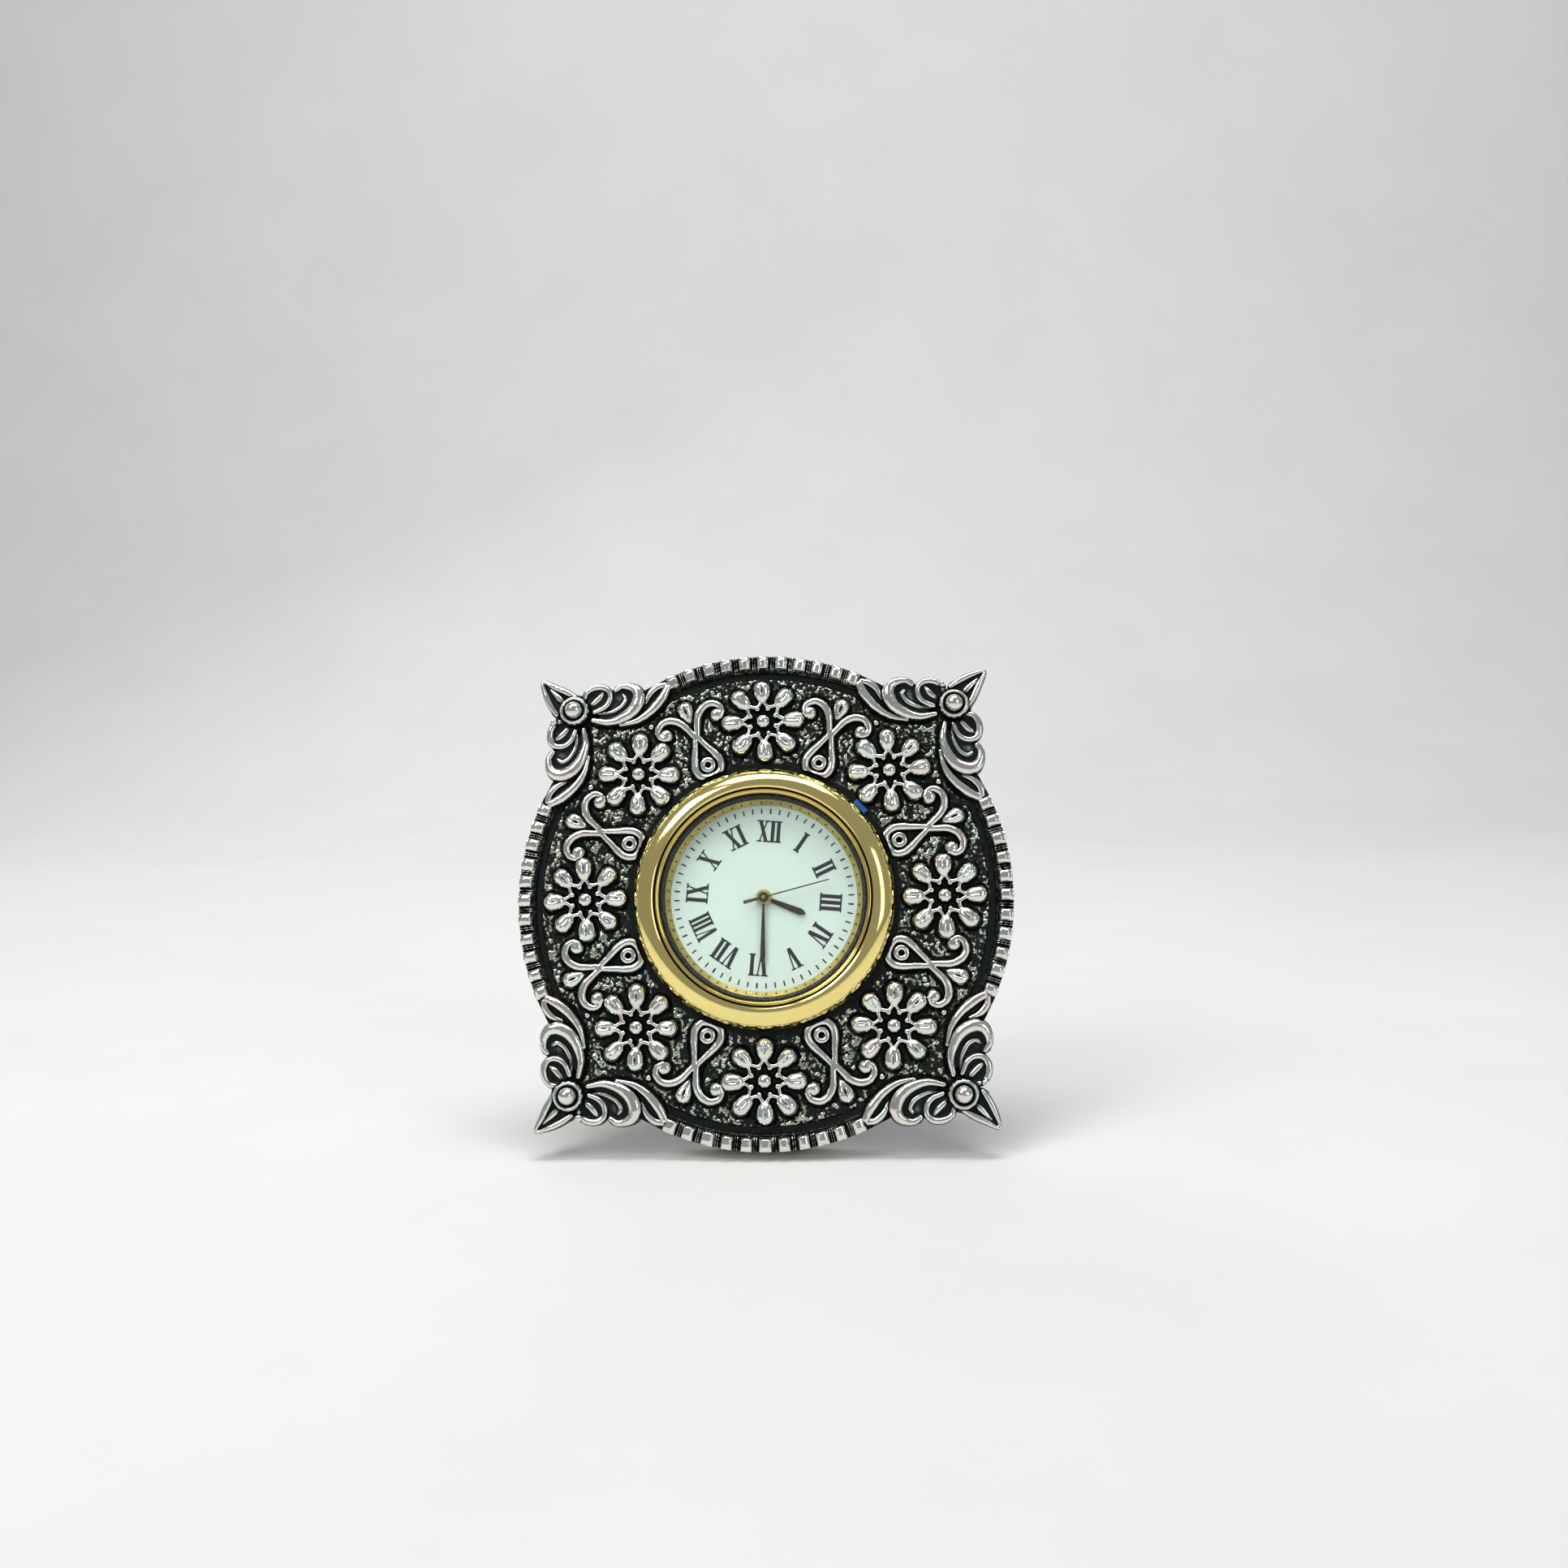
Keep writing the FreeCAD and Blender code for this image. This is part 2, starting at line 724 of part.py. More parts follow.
def pivot_pin(side):
    inner = stand_half_width() - paddle_thickness / 2 - side_gap
    outer = lug_inner() + lug_thickness
    along = Vector(side, 0, 0)
    start = Vector(side * inner, pivot_height, pivot_depth())
    shank = Part.makeCylinder(pin_radius, outer - inner, start, along)
    rear = Part.makeCylinder(pin_head_radius, pin_head_height, start - along * pin_head_height, along)
    front = Part.makeCylinder(pin_head_radius, pin_head_height, start + along * (outer - inner), along)
    return fused([shank, rear, front])


def stand_reach():
    """Length from the pivots to the foot bar's middle, so that the open stand meets the floor."""
    up = standing().multVec(pivot(1)).z
    return (up - stand_wire) / math.cos(math.radians(stand_open - lean))


def wire_stand():
    """The stand folded flat, then opened: two eyes, two legs that draw in, and a foot bar."""
    reach = stand_reach()
    depth = pivot_depth()
    top = pivot_height - paddle_length / 2
    half, foot_half = stand_half_width(), stand_half_width() - stand_draw
    points = [Vector(-half, top, depth),
              Vector(-half, pivot_height - 2 * paddle_length, depth),
              Vector(-foot_half, pivot_height - reach, depth),
              Vector(foot_half, pivot_height - reach, depth),
              Vector(half, pivot_height - 2 * paddle_length, depth),
              Vector(half, top, depth)]
    wire = tube(points, stand_wire, stand_bend_share)
    pieces = [wire]
    for side in (-1, 1):
        eye = Part.makeBox(paddle_thickness, paddle_top + paddle_length, 2 * paddle_half,
                           Vector(side * half - paddle_thickness / 2,
                                  pivot_height - paddle_length, depth - paddle_half))
        pieces.append(eye)
    shape = fused(pieces)
    for side in (-1, 1):
        middle = pivot(side) - Vector(paddle_thickness, 0, 0)
        shape = shape.cut(Part.makeCylinder(pin_radius + running_gap, 2 * paddle_thickness,
                                            middle, Vector(1, 0, 0)))
    shape.rotate(Vector(0, pivot_height, depth), Vector(1, 0, 0), stand_open)
    return shape


# Shell of the fit-up clock
def bezel():
    """A domed gilt ring with a groove round its inner edge and a spigot that the case presses on to."""
    edge, peak = bezel_rise + bezel_edge, bezel_peak
    side = Vector(bezel_radius, 0, edge)
    crest = Vector(bezel_peak_radius, 0, peak)
    swell = bezel_edge / 2
    dome = Vector((bezel_radius + bezel_peak_radius) / 2 + swell, 0, (edge + peak) / 2 + swell)
    lip = Vector(bezel_lip_radius, 0, peak - bezel_lip_drop)
    brow = Vector((bezel_lip_radius + bezel_peak_radius) / 2, 0, peak - bezel_lip_drop / 4)
    lip_foot = Vector(bezel_lip_radius, 0, crystal_top)
    seat_in = Vector(crystal_radius + fit_gap, 0, crystal_top)
    seat_low = Vector(crystal_radius + fit_gap, 0, bezel_rise)
    foot = Vector(bezel_radius, 0, bezel_rise)
    edges = [
        Part.LineSegment(foot, side).toShape(),
        Part.Arc(side, dome, crest).toShape(),
        Part.Arc(crest, brow, lip).toShape(),
        Part.LineSegment(lip, lip_foot).toShape(),
        Part.LineSegment(lip_foot, seat_in).toShape(),
        Part.LineSegment(seat_in, seat_low).toShape(),
        Part.LineSegment(seat_low, foot).toShape(),
    ]
    body = Part.Face(Part.Wire(edges)).revolve(Vector(0, 0, 0), Vector(0, 0, 1), 360)
    groove = ring(bezel_groove_radius - bezel_groove_width / 2, bezel_groove_radius + bezel_groove_width / 2,
                  peak - bezel_lip_drop / 2 - bezel_groove_depth, peak + overrun)
    seat = ring(crystal_radius + fit_gap - overrun, spigot_radius() + fit_gap,
                bezel_rise - overrun, spigot_top())
    return body.cut(groove).cut(seat)


def spigot_radius():
    return case_radius


def spigot_top():
    return bezel_rise + ledge_thickness


def crystal():
    return disc(crystal_radius, crystal_top - crystal_thickness, crystal_top)


def rehaut_ring():
    """The sloping ring between the dial and the crystal."""
    low, high = dial_top, crystal_top - crystal_thickness
    outer = crystal_radius
    return revolve([(rehaut_foot_radius, low), (outer, low), (outer, high), (rehaut_top_radius, high)])


def dial():
    return ring(dial_hole, dial_radius, dial_top - dial_thickness, dial_top)


def dial_back():
    return dial_top - dial_thickness


def insert_case():
    """A cup whose front end the bezel presses on to; a ledge inside carries the dial and the plate."""
    wall = ring(case_bore, case_radius, -case_depth, spigot_top())
    ledge = ring(ledge_radius, case_bore + overrun / 2, dial_back() - ledge_thickness, dial_back())
    groove = ring(case_radius - grip_root, case_radius + overrun, -grip_start - grip_length, -grip_start)
    return wall.fuse(ledge).removeSplitter().cut(groove)


def grip_ring():
    """The ribbed rubber band that holds the fit-up in its bore."""
    root = case_radius - grip_root
    low = -grip_start - grip_length
    pitch = grip_length / grip_ribs
    half = pitch * grip_rib_share / 2
    band = (grip_outer - root) / 2
    points = [(root, low), (root + band, low)]
    for n in range(grip_ribs):
        middle = low + (n + 0.5) * pitch
        points += [(root + band, middle - half), (grip_outer, middle - half / 2),
                   (grip_outer, middle + half / 2), (root + band, middle + half)]
    points += [(root + band, -grip_start), (root, -grip_start)]
    return revolve(points)


def film_ring():
    """The blue sealing ring under the bezel, with a tab left showing at the upper right."""
    high = bezel_rise
    shape = ring(film_inner, film_outer, 0, high)
    tab = block(film_tab_width, film_tab_reach + (film_outer - film_inner), 0, high,
                Vector(0, (film_inner + film_outer + film_tab_reach) / 2, 0))
    return shape.fuse(turned(tab, film_tab_angle)).removeSplitter()


def hatch_middle():
    return Vector(battery_place[0], battery_place[1], 0)


def hatch_lug(reach, low, high, turn):
    width = hatch_lug_width + (reach - hatch_radius)
    return block(width, 2 * reach, low, high, hatch_middle(), -turn)


def case_back():
    """The snap-on back, with the opening for the battery and the hole for the knob's stem."""
    rear = -case_depth - back_thickness
    inner = case_bore - fit_gap
    plate = disc(case_radius, rear, -case_depth)
    lip = ring(inner - holder_wall, inner, -case_depth - back_thickness / 2, -case_depth + back_lip)
    shape = plate.fuse(lip).removeSplitter()
    middle = hatch_middle()
    shape = shape.cut(disc(hatch_radius, rear - overrun, rear + hatch_depth, middle))
    shape = shape.cut(disc(hatch_radius - hatch_step, rear, -case_depth + overrun, middle))
    notch = hatch_lug(hatch_radius + hatch_gap, rear, -case_depth + overrun, hatch_turn)
    shape = shape.cut(notch.common(disc(hatch_radius + 2 * hatch_gap, rear, overrun, middle)))
    return shape.cut(disc(setting_arbor + hatch_gap, rear - overrun, 0, setting_place()))


def battery_hatch():
    """A coin-turned cover; two lugs under the back's inner face lock it."""
    rear = -case_depth - back_thickness
    middle = hatch_middle()
    cover = disc(hatch_radius - hatch_gap, rear, rear + hatch_depth, middle)
    plug = disc(hatch_radius - hatch_step - hatch_gap, rear, -case_depth + hatch_gap, middle)
    low = -case_depth + hatch_gap / 2
    lugs = hatch_lug(hatch_radius, low, low + hatch_lug_height, 0)
    shape = fused([cover, plug, lugs.common(disc(hatch_radius, low, 0, middle))])
    slot = block(coin_slot_length, coin_slot_width, rear - overrun, rear + coin_slot_depth, middle)
    return shape.cut(slot)


# Where the arbors stand
def pair_distance(teeth_a, teeth_b, module):
    return (teeth_a + teeth_b) * module / 2


def third_place():
    return at(pair_distance(third_wheel_teeth, second_pinion_teeth, train_module), third_angle)


def centre_module():
    """The centre wheel and the third pinion share the distance that the other pair sets."""
    return 2 * third_place().Length / (centre_wheel_teeth + third_pinion_teeth)


def fifth_place():
    return at(pair_distance(second_wheel_teeth, fifth_pinion_teeth, step_module), fifth_angle)


def rotor_place():
    reach = pair_distance(fifth_wheel_teeth, rotor_pinion_teeth, rotor_module)
    return fifth_place() + at(reach, rotor_angle)


def minute_place():
    return at(pair_distance(cannon_teeth, minute_wheel_teeth, motion_module), minute_angle)


def hour_module():
    return 2 * minute_place().Length / (minute_pinion_teeth + hour_wheel_teeth)


def setting_place():
    reach = pair_distance(minute_wheel_teeth, setting_teeth, motion_module)
    return minute_place() + at(reach, setting_angle)


def plate_front():
    return dial_back() - motion_room


def plate_back():
    return plate_front() - plate_thickness


def bridge_front():
    return plate_back() - train_room


def bridge_back():
    return bridge_front() - bridge_thickness


# Wheels
def meshed(angle, phase, teeth, other_teeth):
    """The phase of a second wheel that lies at an angle from a first wheel and meshes with it."""
    lead = (phase - angle) * teeth / 360
    return angle + 180 - (lead + 0.5) * 360 / other_teeth


def toothed(teeth, module, phase):
    """The closed outline of a toothed wheel whose first tooth points at the phase."""
    pitch_radius = teeth * module / 2
    tip = pitch_radius + addendum_share * module
    root = pitch_radius - dedendum_share * module
    pitch = 360 / teeth
    foot_share = 2 * tooth_share - tip_share
    points = []
    for n in range(teeth):
        middle = phase + n * pitch
        points += [at(root, middle - foot_share * pitch / 2), at(tip, middle - tip_share * pitch / 2),
                   at(tip, middle + tip_share * pitch / 2), at(root, middle + foot_share * pitch / 2)]
    return Part.makePolygon(points + points[:1])


def window(inner, outer, start, end):
    """A hole between two spokes."""
    middle = (start + end) / 2
    return Part.Wire([
        Part.Arc(at(outer, start), at(outer, middle), at(outer, end)).toShape(),
        Part.LineSegment(at(outer, end), at(inner, end)).toShape(),
        Part.Arc(at(inner, end), at(inner, middle), at(inner, start)).toShape(),
        Part.LineSegment(at(inner, start), at(outer, start)).toShape(),
    ])


def wheel(teeth, module, phase, low, high, place=Vector(0, 0, 0), bore=0.0, crossed=True):
    """A toothed wheel or pinion, with spokes where it is crossed out."""
    radius = teeth * module / 2
    face = Part.Face(toothed(teeth, module, phase))
    if bore:
        face = face.cut(Part.Face(Part.Wire(Part.makeCircle(bore))))
    if crossed:
        step = 360 / spoke_count
        gap = spoke_share * step
        for n in range(spoke_count):
            hole = window(crossing_hub_share * radius, crossing_rim_share * radius,
                          phase + n * step + gap, phase + (n + 1) * step - gap)
            face = face.cut(Part.Face(hole))
    solid = face.extrude(Vector(0, 0, high - low))
    solid.translate(Vector(place.x, place.y, low))
    return solid.Solids[0]


def train_span(level, length):
    """Lowest and highest Z of what lies a level behind the plate."""
    high = plate_back() - level
    return high - length, high


def pinion_span(level):
    """A pinion reaches past both faces of the wheel that it meshes with."""
    return train_span(level - (pinion_length - wheel_thickness) / 2, pinion_length)


def train_arbor(place, shoulder=arbor_radius):
    """An arbor between plate and bridge, with a pivot at each end."""
    stem = disc(shoulder, bridge_front() + end_play, plate_back() - end_play, place)
    pivots = disc(pivot_radius, bridge_back(), plate_front(), place)
    return [stem, pivots]


def second_phase():
    return 0.0


def third_phase():
    return meshed(third_angle, second_phase(), second_pinion_teeth, third_wheel_teeth)


def centre_phase():
    return meshed(third_angle + 180, third_phase(), third_pinion_teeth, centre_wheel_teeth)


def fifth_phase():
    return meshed(fifth_angle, second_phase(), second_wheel_teeth, fifth_pinion_teeth)


def rotor_phase():
    return meshed(rotor_angle, fifth_phase(), fifth_wheel_teeth, rotor_pinion_teeth)


def minute_phase():
    return meshed(minute_angle, 0.0, cannon_teeth, minute_wheel_teeth)


def hour_phase():
    return meshed(minute_angle + 180, minute_phase(), minute_pinion_teeth, hour_wheel_teeth)


def setting_phase():
    return meshed(setting_angle, minute_phase(), minute_wheel_teeth, setting_teeth)


def seconds_wheel():
    """The wheel that turns once a minute; its long arbor carries the second hand."""
    low, high = train_span(second_level, wheel_thickness)
    driven = wheel(second_wheel_teeth, step_module, second_phase(), low, high)
    low, high = pinion_span(third_level)
    pinion = wheel(second_pinion_teeth, train_module, second_phase(), low, high, crossed=False)
    hub = disc(centre_tube, train_span(second_level, wheel_thickness)[0] - end_play, low + end_play)
    arbor = disc(second_arbor, bridge_back(), second_top())
    return fused([driven, pinion, hub, arbor])


def second_top():
    return dial_top + second_hand_rise + 2 * hand_thickness


def third_wheel():
    place = third_place()
    low, high = train_span(third_level, wheel_thickness)
    driven = wheel(third_wheel_teeth, train_module, third_phase(), low, high, place)
    low, high = pinion_span(centre_level)
    pinion = wheel(third_pinion_teeth, centre_module(), third_phase(), low, high, place, crossed=False)
    return fused([driven, pinion] + train_arbor(place))


def centre_gear():
    """The wheel that turns once an hour; the cannon pinion grips its tube."""
    low, high = train_span(centre_level, wheel_thickness)
    bore = second_arbor + running_gap
    driven = wheel(centre_wheel_teeth, centre_module(), centre_phase(), low, high, bore=bore)
    collar = ring(bore, cannon_tube, low, plate_back() - end_play)
    tube_part = ring(bore, centre_tube, low, cannon_top() - hand_thickness)
    return fused([driven, collar, tube_part])


def fifth_wheel():
    place = fifth_place()
    low, high = train_span(fifth_level, wheel_thickness)
    driven = wheel(fifth_wheel_teeth, rotor_module, fifth_phase(), low, high, place)
    low, high = pinion_span(second_level)
    pinion = wheel(fifth_pinion_teeth, step_module, fifth_phase(), low, high, place, crossed=False)
    return fused([driven, pinion] + train_arbor(place))


def rotor():
    """The magnet of the stepping motor, on an arbor with the first pinion of the train."""
    place = rotor_place()
    low, high = train_span(rotor_level, rotor_length)
    magnet = disc(rotor_radius, low, high, place)
    low, high = pinion_span(fifth_level)
    pinion = wheel(rotor_pinion_teeth, rotor_module, rotor_phase(), low, high, place, crossed=False)
    return fused([magnet, pinion] + train_arbor(place))


def motion_span(level, length):
    low = plate_front() + level
    return low, low + length


def cannon_top():
    return dial_top + minute_hand_rise + hand_thickness


def hour_top():
    return dial_top + hour_hand_rise + hand_thickness


def cannon_pinion():
    low, high = motion_span(motion_level - end_play, pinion_length)
    bore = centre_tube + running_gap
    teeth = wheel(cannon_teeth, motion_module, 0.0, low, high, bore=bore, crossed=False)
    return fused([teeth, ring(bore, cannon_tube, low, cannon_top())])


def minute_wheel():
    place = minute_place()
    low, high = motion_span(motion_level, wheel_thickness)
    driven = wheel(minute_wheel_teeth, motion_module, minute_phase(), low, high, place)
    top = motion_span(hour_level, wheel_thickness)[1]
    pinion = wheel(minute_pinion_teeth, hour_module(), minute_phase(), high, top, place, crossed=False)
    stud = disc(arbor_radius, plate_front() - plate_thickness / 2, top, place)
    return fused([driven, pinion, stud])


def hour_wheel():
    low, high = motion_span(hour_level, wheel_thickness)
    bore = cannon_tube + running_gap
    driven = wheel(hour_wheel_teeth, hour_module(), hour_phase(), low, high, bore=bore)
    return fused([driven, ring(bore, hour_tube, low, hour_top())])


def setting_stem():
    """The stem that the rear knob turns; its pinion drives the minute wheel."""
    place = setting_place()
    low, high = motion_span(motion_level - end_play, pinion_length)
    teeth = wheel(setting_teeth, motion_module, setting_phase(), low, high, place, crossed=False)
    stem = disc(setting_arbor, knob_front() - knob_height / 2, high, place)
    return fused([teeth, stem])


def knob_front():
    return -case_depth - back_thickness - knob_gap


def setting_knob():
    place = setting_place()
    front, rear = knob_front(), knob_front() - knob_height
    shape = disc(knob_radius, rear, front, place)
    for n in range(knob_flutes):
        flute = place + at(knob_radius, n * 360 / knob_flutes)
        shape = shape.cut(disc(knob_flute_radius, rear - overrun, front + overrun, flute))
    return shape.cut(disc(setting_arbor, knob_front() - knob_height / 2, overrun, place))


# Plates and what they carry
def pillar_places():
    return [at(pillar_circle, angle) for angle in pillar_angles]


def main_plate():
    """The front plate, with the rim that meets the case's ledge and the three pillars."""
    outer = case_bore - fit_gap
    rim_top = dial_back() - ledge_thickness
    plate = disc(outer, plate_back(), plate_front()).fuse(ring(plate_rim_inner, outer, plate_back(), rim_top))
    pillars = [disc(pillar_radius, bridge_front(), plate_back() + plate_thickness / 2, p)
               for p in pillar_places()]
    plate = fused([plate] + pillars)
    holes = [(cannon_tube + running_gap, Vector(0, 0, 0)), (setting_arbor + running_gap, setting_place()),
             (arbor_radius + running_gap, minute_place())]
    holes += [(pivot_radius + running_gap, p) for p in (third_place(), fifth_place(), rotor_place())]
    holes += [(small_screw_radius + thread_gap, p) for p in stator_screw_places()]
    for radius, place in holes:
        plate = plate.cut(disc(radius, plate_back() - overrun, plate_front() + overrun, place))
    for place in pillar_places():
        plate = plate.cut(disc(small_screw_radius + thread_gap, bridge_front() - overrun,
                               bridge_front() + screw_depth(), place))
    return plate


def screw_depth():
    return train_room / 2


def train_bridge():
    """The rear plate, cut away round the battery, the coil and the circuit board."""
    low, high = bridge_back(), bridge_front()
    shape = disc(bridge_radius, low, high)
    shape = shape.cut(disc(battery_radius + bridge_gap, low - overrun, high + overrun, hatch_middle()))
    width, length = board_size
    board = block(width + 2 * bridge_gap, length + 2 * bridge_gap, low - overrun, high + overrun,
                  Vector(board_place[0], board_place[1], 0))
    coil = block(2 * stator_half_length + 2 * bridge_gap, bridge_radius,
                 low - overrun, high + overrun)
    coil.translate(Vector(0, coil_circle - coil_radius - bridge_gap + bridge_radius / 2, 0))
    shape = shape.cut(board).cut(turned(coil, motor_angle()))
    holes = [(second_arbor + running_gap, Vector(0, 0, 0)), (setting_arbor + running_gap, setting_place())]
    holes += [(pivot_radius + running_gap, p) for p in (third_place(), fifth_place(), rotor_place())]
    holes += [(small_screw_radius + thread_gap, p) for p in pillar_places()]
    for radius, place in holes:
        shape = shape.cut(disc(radius, low - overrun, high + overrun, place))
    return shape


def bridge_screws():
    """Three screws; the one that also holds the battery strap stands higher."""
    made = []
    for n, place in enumerate(pillar_places()):
        seat = bridge_back() - (strap_thickness if n == 0 else 0)
        length = bridge_front() + screw_depth() - thread_gap - seat
        made.append(slotted_screw(small_screw_radius, length, small_screw_head_radius,
                                  small_screw_head_height, small_slot_width, small_slot_depth,
                                  place + Vector(0, 0, seat)))
    return made


def battery_strap():
    """A spring strip from the first pillar's screw over the battery."""
    start, end = pillar_places()[0], hatch_middle()
    along = end - start
    high = bridge_back()
    shape = block(strap_width, along.Length, high - strap_thickness, high)
    shape.translate(Vector(0, along.Length / 2, 0))
    shape = turned(shape, math.degrees(math.atan2(along.x, along.y)))
    shape.translate(start)
    ends = [disc(strap_width / 2, high - strap_thickness, high, p) for p in (start, end)]
    shape = fused([shape] + ends)
    return shape.cut(disc(small_screw_radius + thread_gap, high - overrun, high + overrun, start))


def movement_ring():
    """The ring that holds the movement forward against the case's ledge."""
    outer = case_bore - fit_gap
    return ring(outer - holder_wall, outer, -case_depth + back_lip, plate_back())


# Stepping motor
def motor_angle():
    place = rotor_place()
    return math.degrees(math.atan2(place.x, place.y))


def stator_screw_places():
    reach = stator_half_length - stator_arm_width / 2
    return [turned(Part.Vertex(side * reach, coil_circle, 0), motor_angle()).Point for side in (-1, 1)]


def stator():
    """A soft-iron plate round the rotor, with two arms that carry the coil's core."""
    low, high = train_span(stator_level, stator_thickness)
    reach = rotor_place().Length
    strip = block(2 * stator_half_length, stator_width, low, high, Vector(0, reach, 0))
    arm_end = coil_circle + stator_arm_width / 2
    arms = [block(stator_arm_width, arm_end - reach, low, high,
                  Vector(side * (stator_half_length - stator_arm_width / 2), (arm_end + reach) / 2, 0))
            for side in (-1, 1)]
    shape = fused([strip] + arms)
    shape = shape.cut(disc(rotor_radius + rotor_gap, low - overrun, high + overrun, Vector(0, reach, 0)))
    shape = turned(shape, motor_angle())
    for place in stator_screw_places():
        shape = shape.cut(disc(small_screw_radius + thread_gap, low - overrun, high + overrun, place))
    return shape


def core_span():
    high = plate_back() - stator_level - stator_thickness
    return high - core_width, high


def coil_core():
    low, high = core_span()
    bar = block(2 * stator_half_length, core_width, low, high, Vector(0, coil_circle, 0))
    lugs = [block(stator_arm_width, stator_arm_width, low, high,
                  Vector(side * (stator_half_length - stator_arm_width / 2), coil_circle, 0))
            for side in (-1, 1)]
    shape = turned(fused([bar] + lugs), motor_angle())
    for place in stator_screw_places():
        shape = shape.cut(disc(small_screw_radius + thread_gap, low - overrun, high + overrun, place))
    return shape


def coil_winding():
    low, high = core_span()
    start = Vector(-coil_length / 2, coil_circle, (low + high) / 2)
    bore = core_width / math.sqrt(2) + coil_bore_gap
    outer = Part.makeCylinder(coil_radius, coil_length, start, Vector(1, 0, 0))
    inner = Part.makeCylinder(bore, coil_length + 2 * overrun, start - Vector(overrun, 0, 0), Vector(1, 0, 0))
    return turned(outer.cut(inner), motor_angle())


def stator_screws():
    low = core_span()[0]
    length = plate_back() + plate_thickness / 2 - low
    return [slotted_screw(small_screw_radius, length, small_screw_head_radius, small_screw_head_height,
                          small_slot_width, small_slot_depth, place + Vector(0, 0, low))
            for place in stator_screw_places()]


# Electronics and battery
def circuit_board():
    """A board on the plate, with the blob that covers its chip."""
    middle = Vector(board_place[0], board_place[1], 0)
    low, high = train_span(0, board_sheet)
    sheet = block(board_size[0], board_size[1], low, high, middle)
    chip = block(chip_size[0], chip_size[1], low - chip_height, low,
                 middle + Vector(chip_offset[0], chip_offset[1], 0))
    return fused([sheet, chip])


def quartz_can():
    """The crystal in its little can, lying on the circuit board."""
    low = train_span(0, board_sheet)[0]
    start = Vector(board_place[0] + crystal_can_offset[0],
                   board_place[1] + crystal_can_offset[1] - crystal_can_length / 2, low - crystal_can_radius)
    return Part.makeCylinder(crystal_can_radius, crystal_can_length, start, Vector(0, 1, 0))


def battery():
    """A button cell standing on the plate, its smaller pole towards the plate."""
    low, high = train_span(0, battery_height)
    middle = hatch_middle()
    can = disc(battery_radius, low, high - battery_step, middle)
    return fused([can, disc(battery_radius - battery_step, low, high, middle)])


# Hands
def hand(points, boss, bore, rise, angle):
    """A flat hand pointing to twelve, with its boss, turned to its place on the dial."""
    low = dial_top + rise
    blade = prism([Vector(x, y, 0) for x, y in points], low, low + hand_thickness)
    shape = fused([blade, disc(boss, low, low + hand_thickness)])
    if bore:
        shape = shape.cut(disc(bore, low - overrun, low + overrun))
    return turned(shape, angle + dial_turn)


def lance(length, width, neck):
    """A blade that widens towards its point."""
    wide = length * widest_share
    return [(-neck / 2, 0), (-width / 2, wide), (0, length), (width / 2, wide), (neck / 2, 0)]


def hour_hand():
    blade = lance(hour_hand_length, hour_hand_width, hour_hand_neck)
    return hand(blade, hour_boss, hour_tube, hour_hand_rise, hour_angle)


def minute_hand():
    blade = lance(minute_hand_length, minute_hand_width, minute_hand_neck)
    return hand(blade, minute_boss, cannon_tube, minute_hand_rise, minute_hand_angle)


def second_hand():
    half, tail = second_hand_width / 2, second_tail_width / 2
    blade = [(-tail, -second_tail_length), (-tail, -second_boss), (-half, 0), (-half, second_hand_length),
             (half, second_hand_length), (half, 0), (tail, -second_boss), (tail, -second_tail_length)]
    return hand(blade, second_boss, second_arbor, second_hand_rise, second_angle)


def made_nodes():
    """Every node's solids, in the flat frame."""
    return {
        "front_casting": [front_casting()],
        "back_board": [back_board()],
        "board_screws": board_screws(),
        "stand_lugs": [stand_lug(side) for side in (-1, 1)],
        "lug_rivets": [lug_rivet(place) for place in rivet_places()],
        "stand_pins": [pivot_pin(side) for side in (-1, 1)],
        "wire_stand": [wire_stand()],
        "bezel": [bezel()],
        "crystal": [crystal()],
        "rehaut_ring": [rehaut_ring()],
        "dial": [dial()],
        "film_ring": [film_ring()],
        "insert_case": [insert_case()],
        "grip_ring": [grip_ring()],
        "case_back": [case_back()],
        "battery_hatch": [battery_hatch()],
        "movement_ring": [movement_ring()],
        "main_plate": [main_plate()],
        "train_bridge": [train_bridge()],
        "bridge_screws": bridge_screws(),
        "battery_strap": [battery_strap()],
        "stator": [stator()],
        "coil_core": [coil_core()],
        "coil_winding": [coil_winding()],
        "stator_screws": stator_screws(),
        "circuit_board": [circuit_board()],
        "quartz_can": [quartz_can()],
        "battery": [battery()],
        "second_hand": [second_hand()],
        "seconds_wheel": [seconds_wheel()],
        "third_wheel": [third_wheel()],
        "centre_gear": [centre_gear()],
        "fifth_wheel": [fifth_wheel()],
        "rotor": [rotor()],
        "minute_hand": [minute_hand()],
        "cannon_pinion": [cannon_pinion()],
        "minute_wheel": [minute_wheel()],
        "hour_hand": [hour_hand()],
        "hour_wheel": [hour_wheel()],
        "setting_stem": [setting_stem()],
        "setting_knob": [setting_knob()],
    }


def main():
    os.makedirs("parts", exist_ok=True)
    for name, solids in made_nodes().items():
        shape = solids[0] if len(solids) == 1 else Part.makeCompound(solids)
        shape.Placement = standing().multiply(shape.Placement)
        shape.exportStep(f"parts/{name}.step")


main()
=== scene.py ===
import json
import math

import bmesh
import bpy
import numpy as np
from mathutils import Matrix, Vector

